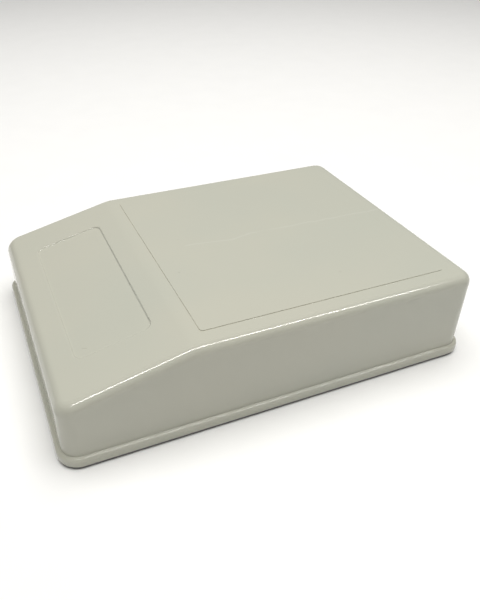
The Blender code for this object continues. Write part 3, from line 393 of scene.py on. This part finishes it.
slots = [
    f for f in shape.faces
    if f.normal.z < -0.9 and 3.2 * MM < (f.calc_center_median() - centre).xy.length < flange - 0.9 * MM
]
slots.sort(key=lambda f: math.atan2(f.calc_center_median().y - centre.y, f.calc_center_median().x - centre.x))
open_slots = [f for number, f in enumerate(slots) if number % 6 < 2]
bmesh.ops.inset_individual(shape, faces=open_slots, thickness=0.12 * MM)
bmesh.ops.translate(
    shape, vec=(0, 0, 0.5 * MM), verts=list({v for f in open_slots for v in f.verts}),
)
add_piece("breather_plug", shape, black_rubber, "base", ["vent_plug"])


# ---- Boom supports ----
# Two natural nylon posts, screwed to the floor from below. Cheeks hold the boom on each side
# and a screw through the boom pulls it down on the post.
nylon = Finish("support_nylon", subsurface_weight=0.25, subsurface_scale=2 * MM)
cloud = nylon.noise(45, 3.0)
nylon_skin = nylon.noise(1400, 2.0)
white_nylon = nylon.surface(
    nylon.mix(cloud, (0.66, 0.64, 0.57), (0.78, 0.77, 0.71)),
    0.36 + 0.14 * nylon_skin, nylon_skin, 0.025 * MM,
)
for place in ("front", "rear"):
    add_piece(
        f"boom_post_{place}", softened(f"boom_support_{place}", 0.5 * MM, 3), white_nylon,
        "base", [f"boom_support_{place}"],
    )


# ---- Boom ----
# A length of square aluminium tube, drilled for the elements and their screws, with an
# extruded finish that runs along it.
extrusion = bare_metal("extruded_aluminium", (0.74, 0.75, 0.76), 0.24, (0.05, 1, 1), 900)
add_piece("boom_tube", softened("boom", 0.3 * MM, 2), extrusion, "base", ["boom"])


# ---- Boom caps ----
# Two plugs moulded in the same dark plastic as the base. They are pushed into the open ends of
# the boom and keep water and insects out of it.
for end in ("front", "rear"):
    add_piece(
        f"boom_plug_{end}", softened(f"boom_cap_{end}", 0.6 * MM, 3), base_grey,
        "base", [f"boom_cap_{end}"],
    )


# ---- Reflector and directors ----
# Solid round aluminium rods with chamfered ends, pushed through the boom in insulating bushes
# and pinched by a screw from above.
rod_metal = bare_metal("drawn_aluminium", (0.76, 0.77, 0.78), 0.2, (1, 0.04, 1), 1100)
rods = ("reflector", "director_1", "director_2", "director_3")
for name in rods:
    low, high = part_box(name)
    centre = (low + high) / 2
    radius = (high.x - low.x) / 2
    half = (high.y - low.y) / 2
    edge = 0.6 * MM
    shape = turned([
        (-half, 0), (-half, radius - edge), (-half + 0.3 * edge, radius - 0.3 * edge), (-half + edge, radius),
        (half - edge, radius), (half - 0.3 * edge, radius - 0.3 * edge), (half, radius - edge), (half, 0),
    ], 48, centre, (0, 1, 0))
    add_piece(f"{name}_rod", shape, rod_metal, "base", [name])


# ---- Element bushes ----
# Flanged nylon bushes, two on each rod, that keep it off the metal of the boom.
boom_middle = (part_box("boom")[0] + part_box("boom")[1]) / 2
for name in rods:
    for hand in ("left", "right"):
        low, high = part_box(f"bush_{name}_{hand}")
        centre = (low + high) / 2
        side = 1 if centre.y > boom_middle.y else -1
        flange = (high.x - low.x) / 2
        length = high.y - low.y
        bore = 2.8 * MM
        sleeve = 4.0 * MM
        step = length - 1.4 * MM
        shape = turned([
            (0.25 * MM, bore), (0, bore + 0.25 * MM), (0, sleeve - 0.3 * MM), (0.3 * MM, sleeve),
            (step, sleeve), (step, flange - 0.2 * MM), (step + 0.2 * MM, flange),
            (length - 0.5 * MM, flange), (length - 0.12 * MM, flange - 0.2 * MM), (length, flange - 0.6 * MM),
            (length, bore + 0.2 * MM), (length - 0.2 * MM, bore),
        ], 40, (centre.x, low.y if side > 0 else high.y, centre.z), (0, side, 0))
        add_piece(
            f"nylon_bush_{name}_{hand}", shape, white_nylon, "base", [f"bush_{name}_{hand}"],
        )


# ---- Folded dipole ----
# The driven element: one aluminium rod bent into a long flat loop, cut open at its middle for the cable.
low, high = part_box("folded_dipole")
centre = (low + high) / 2
radius = 2.5 * MM
loop = (high.x - low.x) / 2 - radius
straight = (high.y - low.y) / 2 - radius - loop
gap = 6.0 * MM
path = [(-loop, gap)]
path += [(-loop, straight * share) for share in (0.2, 0.6, 1.0)]
path += [
    (-loop * math.cos(a), straight + loop * math.sin(a))
    for a in (math.pi * step / 24 for step in range(1, 24))
]
path += [(loop, straight), (loop, straight * 0.5)]
path += [(x, -y) for x, y in reversed(path)]
shape = bmesh.new()
circle = bmesh.ops.create_circle(shape, segments=32, radius=radius, cap_ends=False)
ring = circle["verts"]
start = Matrix.Translation((centre.x + path[0][0], centre.y + path[0][1], centre.z))
bmesh.ops.transform(shape, matrix=start @ Matrix.Rotation(-math.pi / 2, 4, "X"), verts=ring)
edges = list({e for v in ring for e in v.link_edges})
bmesh.ops.contextual_create(shape, geom=edges)
headings = []
for before, after in zip(path, path[1:]):
    headings.append(math.atan2(after[1] - before[1], after[0] - before[0]))
tilts = [math.pi / 2] + [
    math.atan2(math.sin(a) + math.sin(b), math.cos(a) + math.cos(b)) for a, b in zip(headings, headings[1:])
] + [math.pi / 2]
for index in range(1, len(path)):
    lifted = bmesh.ops.extrude_edge_only(shape, edges=edges)
    verts = [part for part in lifted["geom"] if isinstance(part, bmesh.types.BMVert)]
    edges = [part for part in lifted["geom"] if isinstance(part, bmesh.types.BMEdge)]
    pivot = Vector((centre.x + path[index - 1][0], centre.y + path[index - 1][1], centre.z))
    target = Vector((centre.x + path[index][0], centre.y + path[index][1], centre.z))
    turn = Matrix.Rotation(tilts[index] - tilts[index - 1], 4, "Z")
    bmesh.ops.transform(
        shape, matrix=Matrix.Translation(target) @ turn @ Matrix.Translation(-pivot), verts=verts,
    )
bmesh.ops.contextual_create(shape, geom=edges)
bmesh.ops.recalc_face_normals(shape, faces=shape.faces)
bevel(shape, sharp_edges(shape, 60), 0.4 * MM, 3)
add_piece("dipole_loop", shape, rod_metal, "base", ["folded_dipole"])


# ---- Feed box ----
# A small moulded tray screwed to the boom by its two lugs. It holds the loop's middle and the
# matching board, and a lid closes it.
for name, node, rounding, steps in (
    ("feed_tray", "feed_box", 0.35 * MM, 2), ("feed_lid", "feed_box_lid", 0.45 * MM, 3),
):
    add_piece(name, softened(node, rounding, steps), base_grey, "base", [node])


# ---- Balun board ----
# A green laminate board on the tray's floor, with tinned tracks under a solder mask.
board = Finish("balun_laminate")
low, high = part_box("balun_board")
across = abs(board.x - (low.x + high.x) / 2)
along = abs(board.y - (low.y + high.y) / 2)
ring_distance = abs((across * across + along * along) ** 0.5 - 4.5 * MM)
track = board.between(ring_distance, 0.9 * MM, 0.75 * MM)
pad = board.between(abs(across - 8 * MM) + abs(along - 4.5 * MM), 1.6 * MM, 1.4 * MM)
weave = board.noise(1800, 2.0)
mask = board.mix(weave, (0.012, 0.085, 0.035), (0.022, 0.13, 0.06))
mask = board.mix(track, mask, (0.06, 0.22, 0.10))
board_look = board.surface(board.mix(pad, mask, (0.62, 0.62, 0.60)), 0.3 + 0.1 * weave, weave, 0.01 * MM)
add_piece(
    "matching_board", softened("balun_board", 0.15 * MM, 1), board_look,
    "base", ["balun_board"],
)


# ---- Connector block ----
# A dark moulding screwed to the floor. Its arched nose fills the slot in the rear wall of the
# cover and carries the jack.
add_piece(
    "connector_mount", softened("connector_block", 0.4 * MM, 3), base_grey,
    "base", ["connector_block"],
)


# ---- Jack ----
# A bulkhead coaxial jack, turned from brass and nickel plated: a threaded nose, a flange that
# squeezes a rubber ring on the block, and a nut and washer behind.
nickel = bare_metal("nickel_plate", (0.68, 0.66, 0.61), 0.14, (8, 1, 1), 300)
low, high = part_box("jack_body")
axis_y = (low.y + high.y) / 2
axis_z = (low.z + high.z) / 2
flange = (high.y - low.y) / 2
thread = 7.9 * MM
thread_root = thread - 0.62 * MM
coupling_pitch = 1.0583 * MM
sleeve = 5.6 * MM
bore = 4.2 * MM
reach = 11.2 * MM
flange_end = reach + 2.8 * MM
shoulder = high.x - low.x - 4.0 * MM
tail = high.x - low.x
tail_radius = 4.8 * MM
tail_bore = 2.2 * MM
socket = 8.5 * MM
shape = turned([
    (0.5 * MM, sleeve), (0, sleeve + 0.5 * MM), (0, thread - 1.2 * MM), (0.8 * MM, thread - 0.4 * MM),
] + threaded(1.2 * MM, reach - 1.2 * MM, coupling_pitch, thread, thread_root) + [
    (reach, thread_root), (reach, flange - 0.7 * MM), (reach + 0.35 * MM, flange - 0.15 * MM),
    (reach + 0.7 * MM, flange), (flange_end - 0.3 * MM, flange), (flange_end, flange - 0.3 * MM),
    (flange_end, thread - 0.1 * MM), (flange_end + 3 * MM, thread - 0.1 * MM),
] + threaded(flange_end + 3 * MM, shoulder - 0.3 * MM, coupling_pitch, thread, thread_root) + [
    (shoulder, thread - 0.9 * MM), (shoulder, tail_radius), (tail - 0.4 * MM, tail_radius),
    (tail, tail_radius - 0.4 * MM), (tail, tail_bore), (shoulder, tail_bore), (shoulder, bore),
    (socket, bore), (socket, sleeve),
], 72, (low.x, axis_y, axis_z), (1, 0, 0))
add_piece("jack_shell", shape, nickel, "base", ["jack_body"])

ring_low, ring_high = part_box("jack_o_ring")
section = (ring_high.x - ring_low.x) / 2
outside = (ring_high.y - ring_low.y) / 2
shape = turned([
    (0.12 * MM, thread + 0.3 * MM), (0, thread + 0.6 * MM), (0, outside - 0.35 * MM),
    (section * 0.5, outside - 0.1 * MM),
    (section, outside), (section * 1.5, outside - 0.1 * MM), (2 * section, outside - 0.35 * MM),
    (2 * section, thread + 0.6 * MM), (2 * section - 0.12 * MM, thread + 0.3 * MM),
], 72, (ring_low.x, axis_y, axis_z), (1, 0, 0))
add_piece("jack_seal", shape, black_rubber, "base", ["jack_o_ring"])

washer_low, washer_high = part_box("jack_washer")
thickness = washer_high.x - washer_low.x
outside = (washer_high.y - washer_low.y) / 2
shape = turned([
    (0.15 * MM, thread + 0.3 * MM), (0, thread + 0.45 * MM), (0, outside - 0.2 * MM), (0.2 * MM, outside),
    (thickness - 0.2 * MM, outside), (thickness, outside - 0.2 * MM),
    (thickness, thread + 0.45 * MM), (thickness - 0.15 * MM, thread + 0.3 * MM),
], 72, (washer_low.x, axis_y, axis_z), (1, 0, 0))
add_piece("jack_lock_washer", shape, nickel, "base", ["jack_washer"])
add_piece("jack_hex_nut", softened("jack_nut", 0.25 * MM, 2), nickel, "base", ["jack_nut"])

# A white fluoropolymer bead fills the jack's bore and holds the gold-plated socket in its middle.
bead = Finish("fluoropolymer", subsurface_weight=0.2, subsurface_scale=1 * MM)
bead_cloud = bead.noise(400, 2.0)
bead_look = bead.surface(
    bead.mix(bead_cloud, (0.78, 0.78, 0.76), (0.88, 0.88, 0.86)),
    0.35 + 0.1 * bead_cloud, bead_cloud, 0.02 * MM,
)
bead_low, bead_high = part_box("jack_insulator")
outside = (bead_high.y - bead_low.y) / 2
length = bead_high.x - bead_low.x
contact = 1.5 * MM
shape = turned([
    (0.2 * MM, contact + 0.3 * MM), (0, contact + 0.5 * MM), (0, outside - 0.4 * MM), (0.4 * MM, outside),
    (length, outside), (length, contact + 0.3 * MM),
], 48, (bead_low.x, axis_y, axis_z), (1, 0, 0))
add_piece("jack_dielectric", shape, bead_look, "base", ["jack_insulator"])

gold = bare_metal("contact_gold", (0.83, 0.62, 0.28), 0.16, (8, 1, 1), 300)
pin_low, pin_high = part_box("jack_contact")
length = pin_high.x - pin_low.x
shape = turned([
    (6.9 * MM, 0), (6.1 * MM, 0.82 * MM), (0.2 * MM, 0.82 * MM), (0, 1.0 * MM), (0, contact - 0.3 * MM),
    (0.35 * MM, contact), (1.6 * MM, contact), (1.75 * MM, contact - 0.12 * MM),
    (2.05 * MM, contact - 0.12 * MM), (2.2 * MM, contact), (length, contact), (length, 0),
], 40, (pin_low.x, axis_y, axis_z), (1, 0, 0))
add_piece("jack_socket_pin", shape, gold, "base", ["jack_contact"])


# ---- Coaxial pigtail ----
# A thin black coaxial lead from the feed box to the tail of the jack, clear of the boom.
jacket = Finish("cable_jacket")
scuff = jacket.noise(260, 3.0)
jacket_look = jacket.surface(
    jacket.mix(scuff, (0.012, 0.012, 0.013), (0.030, 0.030, 0.031)), 0.34 + 0.2 * scuff, scuff, 0.02 * MM,
)
add_piece(
    "coax_lead", flat_faced("coax_pigtail"), jacket_look, "base", ["coax_pigtail"],
)


# ---- Screws ----
# Plated steel pan-head screws with a cross recess and a coarse thread for plastic. Ten come up
# through the floor from below, and eight smaller ones go down into the boom and the feed box.
def boolean(shape, tool, operation):
    """Joins a tool to a shape, or cuts it away, and gives back the new shape."""
    holders = []
    for part in (shape, tool):
        mesh = bpy.data.meshes.new("workpiece")
        part.to_mesh(mesh)
        part.free()
        holders.append(bpy.data.objects.new("workpiece", mesh))
        scene.collection.objects.link(holders[-1])
    modifier = holders[0].modifiers.new("join", "BOOLEAN")
    modifier.operation = operation
    modifier.object = holders[1]
    result = bmesh.new()
    result.from_object(holders[0], bpy.context.evaluated_depsgraph_get())
    for holder in holders:
        bpy.data.objects.remove(holder, do_unlink=True)
    return result


def box_shape(low, high):
    low, high = Vector(low), Vector(high)
    shape = bmesh.new()
    bmesh.ops.create_cube(shape, size=1.0)
    bmesh.ops.scale(shape, vec=high - low, verts=shape.verts)
    bmesh.ops.translate(shape, vec=(low + high) / 2, verts=shape.verts)
    return shape


def pan_screw(length, head, head_height, shank):
    """Screw along +Z, from the face of its head at the origin to its tip."""
    neck = head_height + 0.4 * MM
    start = length - 1.6 * shank
    root = shank * 0.72
    pitch = 1.1 * MM if shank > 1.45 * MM else 0.9 * MM
    profile = [
        (0, 0), (0, 0.55 * head), (0.1 * head_height, 0.75 * head), (0.28 * head_height, 0.9 * head),
        (0.55 * head_height, head), (head_height - 0.1 * MM, head), (head_height, head - 0.1 * MM),
        (head_height, shank), (neck, shank),
    ]
    profile += threaded(neck, start, pitch, shank, root)
    profile += [(length - 0.3 * shank, 0.3 * shank), (length, 0)]
    screw = turned(profile, 36, (0, 0, 0), (0, 0, 1))
    blade = 0.14 * head
    for long_x, long_y in ((0.55 * head, blade), (blade, 0.55 * head)):
        slot = box_shape((-long_x, -long_y, -head_height), (long_x, long_y, 0.55 * head_height))
        deep = [v for v in slot.verts if v.co.z > 0]
        bmesh.ops.scale(slot, vec=(0.5, 0.5, 1), verts=deep)
        screw = boolean(screw, slot, "DIFFERENCE")
    return screw


screw_steel = bare_metal("screw_steel", (0.60, 0.60, 0.59), 0.22, (1, 1, 5), 700)
base_screws = [
    f"cover_screw_{place}_{hand}" for place in ("front", "middle", "rear") for hand in ("left", "right")
]
base_screws += [f"support_screw_{place}_{number}" for place in ("front", "rear") for number in (1, 2)]
base_screws += ["block_screw_1", "block_screw_2"]
boom_screws = [f"element_screw_{name}" for name in rods]
boom_screws += ["boom_screw_front", "boom_screw_rear", "feed_box_screw_front", "feed_box_screw_rear"]

# Every screw has stopped at an angle of its own.
for name in base_screws + boom_screws:
    low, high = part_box(name)
    centre = (low + high) / 2
    length = high.z - low.z
    head = (high.x - low.x) / 2
    if name in base_screws:
        shape = pan_screw(length, head, 1.6 * MM, 1.5 * MM)
        turn = Matrix.Translation((centre.x, centre.y, low.z))
    else:
        shape = pan_screw(length, head, 1.8 * MM, 1.4 * MM)
        turn = Matrix.Translation((centre.x, centre.y, high.z)) @ Matrix.Rotation(math.pi, 4, "X")
    twist = Matrix.Rotation(centre.x * 40 + centre.y * 25, 4, "Z")
    bmesh.ops.transform(shape, matrix=turn @ twist, verts=shape.verts)
    add_piece(f"pan_{name}", shape, screw_steel, "base", [name])


# ---- Rim gasket ----
# A strip of soft black rubber that lies in the groove of the cover's rim and is pressed on the
# base when the cover screws pull down. It is split where the connector block passes.
add_piece(
    "rim_seal", softened("rim_gasket", 0.25 * MM, 2), black_rubber, "cover", ["rim_gasket"],
)


# ---- Radome cover ----
# One injection moulding in glossy off-white plastic: drafted walls on a rounded bead, a flat roof
# with a raised panel, and a slope with a shallow recess. Ribs and screw bosses stiffen it inside.
cover_low, cover_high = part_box("radome_cover")
panel_rise = 0.4 * MM
roof_height = cover_high.z - panel_rise
nose_height = 40.8 * MM
crease_x = cover_high.x - 81.5 * MM
slope = (roof_height - nose_height) / (cover_high.x - crease_x)
slope_normal = Vector((slope, 0, 1)).normalized()
bead_top = 7.3 * MM
bead_corner = 13.1 * MM
bead_proud = 2.7 * MM
draft = 0.018
wall = 2.5 * MM
ceiling = roof_height - 2.8 * MM


def round_block(low, high, radius, segments):
    """Upright box between two corners, with round corners seen from above."""
    shape = box_shape(low, high)
    upright = [e for e in shape.edges if abs(e.verts[0].co.z - e.verts[1].co.z) > 0.5 * (high[2] - low[2])]
    bevel(shape, upright, radius, segments)
    shape.normal_update()
    return shape


def rim_block(inset, bottom, top, segments=14):
    """Upright block whose outline follows the bead, an inset behind its face."""
    return round_block(
        (cover_low.x + inset, cover_low.y + inset, bottom), (cover_high.x - inset, cover_high.y - inset, top),
        bead_corner - inset, segments,
    )


def raise_walls(shape, height, inset=0.0):
    """Insets the top face level, then draws it up to a height with the walls leaning in."""
    top = max(shape.faces, key=lambda f: f.calc_center_median().z)
    rise = height - top.calc_center_median().z
    if inset:
        bmesh.ops.inset_region(shape, faces=[top], thickness=inset, use_even_offset=True)
    bmesh.ops.inset_region(shape, faces=[top], thickness=draft * rise, depth=rise, use_even_offset=True)
    shape.normal_update()


def round_roof(shape, drop, crease_width, edge_radius, segments):
    """Cuts the slope, softens the crease, and rounds the edge between the roof and the walls."""
    point = Vector((crease_x, 0, roof_height)) - slope_normal * drop
    everything = shape.verts[:] + shape.edges[:] + shape.faces[:]
    cut = bmesh.ops.bisect_plane(
        shape, geom=everything, plane_co=point, plane_no=slope_normal, clear_outer=True,
    )
    ring = [part for part in cut["geom_cut"] if isinstance(part, bmesh.types.BMEdge)]
    bmesh.ops.contextual_create(shape, geom=ring)
    shape.normal_update()
    high_edges = [e for e in shape.edges if e.verts[0].co.z > 2 * bead_top]
    crease = [e for e in high_edges if all(f.normal.z > 0.9 for f in e.link_faces)]
    bevel(shape, crease, crease_width, 6, clamp=False)
    shape.normal_update()
    edges = []
    for edge in shape.edges:
        roof = [f.normal.z > 0.9 for f in edge.link_faces]
        if edge.verts[0].co.z > 2 * bead_top and any(roof) and not all(roof):
            edges.append(edge)
    bevel(shape, edges, edge_radius, segments, clamp=False)
    shape.normal_update()


shell = rim_block(0, cover_low.z, bead_top, 18)
raise_walls(shell, roof_height, bead_proud)
round_roof(shell, 0, 3.5 * MM, 6.2 * MM, 12)
outer = []
foot = []
lowest = []
for edge in shell.edges:
    heights = [v.co.z for v in edge.verts]
    if max(abs(h - bead_top) for h in heights) < 0.01 * MM:
        beside = [f for f in edge.link_faces if abs(f.normal.z) < 0.5]
        if beside:
            (outer if beside[0].calc_center_median().z < bead_top else foot).append(edge)
    elif max(abs(h - cover_low.z) for h in heights) < 0.01 * MM:
        lowest.append(edge)
bevel(shell, foot, 0.4 * MM, 3)
bevel(shell, outer, 2.2 * MM, 8)
bevel(shell, lowest, 0.35 * MM, 3)

# Cuts across the shell in both directions keep its long faces even.
cuts_along = [mm * MM for mm in (-120, -92, -62, -31, 1, 33, 64, 92, 120)]
cuts_across = [mm * MM for mm in (-84, -56, -28, 1, 30, 58, 84)]
for normal, places in ((Vector((1, 0, 0)), cuts_along), (Vector((0, 1, 0)), cuts_across)):
    for place in places:
        everything = shell.verts[:] + shell.edges[:] + shell.faces[:]
        bmesh.ops.bisect_plane(shell, geom=everything, plane_co=normal * place, plane_no=normal)

cavity = rim_block(bead_proud + wall - draft * bead_top, cover_low.z - 1 * MM, cover_low.z, 12)
raise_walls(cavity, ceiling)
round_roof(cavity, 2.8 * MM, 2.5 * MM, 3.7 * MM, 6)
shell = boolean(shell, cavity, "DIFFERENCE")

# The panel is a plateau of the roof, and the three ribs below it run from side to side.
panel_front = crease_x - 6.6 * MM
panel_rear = cover_low.x + 19.8 * MM
panel_side = cover_high.y - 17.4 * MM
panel_corner = 2.2 * MM
panel = round_block(
    (panel_rear, -panel_side, ceiling + 1 * MM), (panel_front, panel_side, cover_high.z), panel_corner, 6,
)
bevel(panel, [e for e in panel.edges if all(v.co.z > roof_height for v in e.verts)], 0.15 * MM, 2)
shell = boolean(shell, panel, "UNION")
for number in range(3):
    x = panel_front + (panel_rear - panel_front) * (number + 0.5) / 3
    half = cover_high.y - 20 * MM
    rib = box_shape((x - 0.8 * MM, -half, ceiling - 4 * MM), (x + 0.8 * MM, half, ceiling + 1.4 * MM))
    shell = boolean(shell, rib, "UNION")

# Six bosses along the long walls take the cover screws, each with a web to its wall.
boss_bottom = 4.3 * MM
boss_top = 28.3 * MM
boss_height = boss_top - boss_bottom
boss_radius = 4 * MM
boss_edge = 0.3 * MM
boss_spacing = 114.6 * MM
pilot_radius = 1.8 * MM
pilot_depth = 8.9 * MM
half_web = 1.2 * MM
for x in (-boss_spacing, 0.0, boss_spacing):
    for side in (-1, 1):
        y = side * (cover_high.y - 10 * MM)
        boss = turned([
            (pilot_depth + 0.4 * MM, 0), (pilot_depth, pilot_radius), (0, pilot_radius),
            (0, boss_radius - boss_edge), (boss_edge, boss_radius),
            (boss_height - boss_edge, boss_radius), (boss_height, boss_radius - boss_edge), (boss_height, 0),
        ], 40, (x, y, boss_bottom), (0, 0, 1))
        reach = sorted((y + side * 2.9 * MM, side * (cover_high.y - bead_proud - wall / 2)))
        web = box_shape(
            (x - half_web, reach[0], boss_bottom + 0.6 * MM), (x + half_web, reach[1], boss_top - 0.7 * MM),
        )
        shell = boolean(shell, boolean(boss, web, "UNION"), "UNION")

# The seal lies in a groove of the rim, and the connector block's nose fills an arch at the rear.
groove = boolean(
    rim_block(1.8 * MM, cover_low.z - 1 * MM, cover_low.z + 1.4 * MM),
    rim_block(4.0 * MM, cover_low.z - 2 * MM, cover_low.z + 3 * MM), "DIFFERENCE",
)
shell = boolean(shell, groove, "DIFFERENCE")
arch = 15.5 * MM
notch = box_shape((cover_low.x - 3 * MM, -arch, -4 * MM), (cover_low.x + 9.8 * MM, arch, axis_z + arch))
shoulders = [
    e for e in notch.edges
    if all(v.co.z > axis_z for v in e.verts) and abs(e.verts[0].co.x - e.verts[1].co.x) > MM
]
bevel(notch, shoulders, arch - 0.01 * MM, 24, clamp=False)
shell = boolean(shell, notch, "DIFFERENCE")

# The recess in the slope runs down to its floor in a soft S, like a hand-worked edge of the tool.
recess_depth = 0.9 * MM
steepest = math.radians(60)
bend = recess_depth / (2 - 2 * math.cos(steepest))
half_edge = bend * math.sin(steepest)
profile = []
for number in range(13):
    turn = steepest * (1 - abs(number - 6) / 6)
    along, down = bend * math.sin(turn), bend * (1 - math.cos(turn))
    profile.append((along - half_edge, down) if number <= 6 else (half_edge - along, recess_depth - down))
lead_in = (profile[1][0] - profile[0][0], profile[1][1] - profile[0][1])
profile[0] = (profile[0][0] - 0.4 * lead_in[0], -0.4 * lead_in[1])
stretch = 1 / slope_normal.z
recess_rear = crease_x + 14.9 * MM
recess_front = cover_high.x - 21.6 * MM
recess_side = cover_high.y - 36.4 * MM
start = profile[0][0]
recess = round_block(
    ((recess_rear - crease_x) * stretch + start, -recess_side + start, -profile[0][1]),
    ((recess_front - crease_x) * stretch - start, recess_side - start, 3 * MM), 5.5 * MM - start, 10,
)
floor_face = min(recess.faces, key=lambda f: f.calc_center_median().z)
for before, after in zip(profile, profile[1:]):
    bmesh.ops.inset_region(
        recess, faces=[floor_face], thickness=after[0] - before[0], depth=after[1] - before[1],
        use_even_offset=True,
    )
downhill = Vector((slope_normal.z, 0, -slope_normal.x))
tilted = Matrix((downhill, (0, 1, 0), slope_normal)).transposed().to_4x4()
recess.transform(Matrix.Translation((crease_x, 0, roof_height)) @ tilted)
shell = boolean(shell, recess, "DIFFERENCE")

plastic = Finish("cover_plastic")
warm = plastic.noise(9, 2.0)
clouds = plastic.noise(55, 3.0)
peel = plastic.noise(230, 2.0)
fine = plastic.noise(2400, 1.0)
shade = plastic.mix(plastic.between(warm, 0.3, 0.7), (0.500, 0.507, 0.436), (0.522, 0.518, 0.440))
shade = plastic.mix(clouds * 0.12, shade, (0.47, 0.475, 0.42))

# A weld line wanders down the middle of the panel, where two fronts of plastic met.
weld_bends = (0.0244, -0.0073, -0.0254, -0.120)
runs = [
    plastic.node("ShaderNodeMapRange", {}, plastic.x, bend_from, bend_to, 0.0, 1.0)
    for bend_from, bend_to in zip(weld_bends, weld_bends[1:])
]
wander = (plastic.noise(120, 2.0) - 0.5) * 0.003
weld_y = runs[0] * 0.0043 - runs[1] * 0.0031 + runs[2] * 0.0026 - 0.0068 + wander
on_roof = plastic.between(plastic.z, roof_height - 0.5 * MM, roof_height)
weld = plastic.between(abs(plastic.y - weld_y), 1.1 * MM, 0.1 * MM) * on_roof
weld = weld * plastic.between(plastic.x, 0.026, 0.022) * plastic.between(plastic.noise(35, 1.0), 0.3, 0.5)
shade = plastic.mix(weld * 0.5, shade, (0.56, 0.565, 0.50))


def ring(x, y, radius, width):
    """1 on a faint circle on the cover, broken where the plastic closed over it."""
    across = plastic.x - x
    along = plastic.y - y
    distance = abs((across * across + along * along) ** 0.5 - radius)
    return plastic.between(distance, width, 0.0) * plastic.between(plastic.noise(140, 1.0), 0.42, 0.6)


on_slope = plastic.between(plastic.z, 0.045, 0.047)
sinks = (ring(0.0838, -0.0092, 0.0042, 0.0009) + ring(0.0833, 0.0146, 0.0046, 0.0009)) * on_slope

# Painted shade, broken up like dirt, darkens a thin tan line along the foot of the panel where its step falls
# into shade, and a few dark specks are moulded in.
beyond_x = abs(plastic.x - (panel_front + panel_rear) / 2) - (panel_front - panel_rear) / 2
beyond_y = abs(plastic.y) - panel_side
outside = plastic.node("ShaderNodeMath", {"operation": "MAXIMUM"}, beyond_x, beyond_y)
foot_line = plastic.between(abs(outside - 0.12 * MM), 0.45 * MM, 0.05 * MM) * on_roof
foot_shade_and_dirt = foot_line * plastic.between(plastic.noise(48, 2.0), 0.25, 0.6)
# Painted shade and dirt: the foot of the panel is darkened towards tan here.
shade = plastic.mix(foot_shade_and_dirt * 0.20, shade, (0.42, 0.38, 0.25))
# Small marks of use: two dots on the panel, one beside the weld line, and a nick by the recess.
marks = plastic.spot(0.0394, 0.0228, 0.9 * MM) + plastic.spot(-0.0547, 0.0600, 1.3 * MM) * 0.5
marks = marks + plastic.spot(0.0261, -0.0161, 1.0 * MM) * 0.5
nick_along = (plastic.x - 0.1084) * 0.8 - (plastic.y - 0.0558) * 0.6
nick_across = (plastic.y - 0.0558) * 0.8 + (plastic.x - 0.1084) * 0.6
nick = plastic.between(abs(nick_along), 2.2 * MM, 1.2 * MM)
nick = nick * plastic.between(abs(nick_across), 0.55 * MM, 0.2 * MM)
marks = (marks + nick) * plastic.between(plastic.z, 0.040, 0.042)
shade = plastic.mix(marks * 0.22, shade, (0.30, 0.28, 0.22))
specks = plastic.specks(34, 0.010) * plastic.between(plastic.noise(14, 0.0), 0.5, 0.55)
shade = plastic.mix(specks * 0.6, shade, (0.28, 0.25, 0.19))
height = peel * 0.5 + fine * 0.06 + weld * 0.5 - sinks * 0.9
cover_plastic = plastic.surface(shade, 0.08 + 0.04 * clouds + 0.02 * fine, height, 0.015 * MM)
add_piece("radome_shell", shell, cover_plastic, "cover", ["radome_cover"])


# ---- Table top ----
# The plain table that the antenna lies on, faced with a pale matt laminate. Its sheet is made
# with the lights, and its faint mottling is added here.
table_look = Finish("pale_laminate")
mottle = table_look.noise(30, 3.0)
table_mesh.materials.append(table_look.surface(
    table_look.mix(mottle, (0.90, 0.90, 0.895), (0.93, 0.93, 0.925)), 0.7 + 0.1 * mottle, mottle, 0.02 * MM,
))
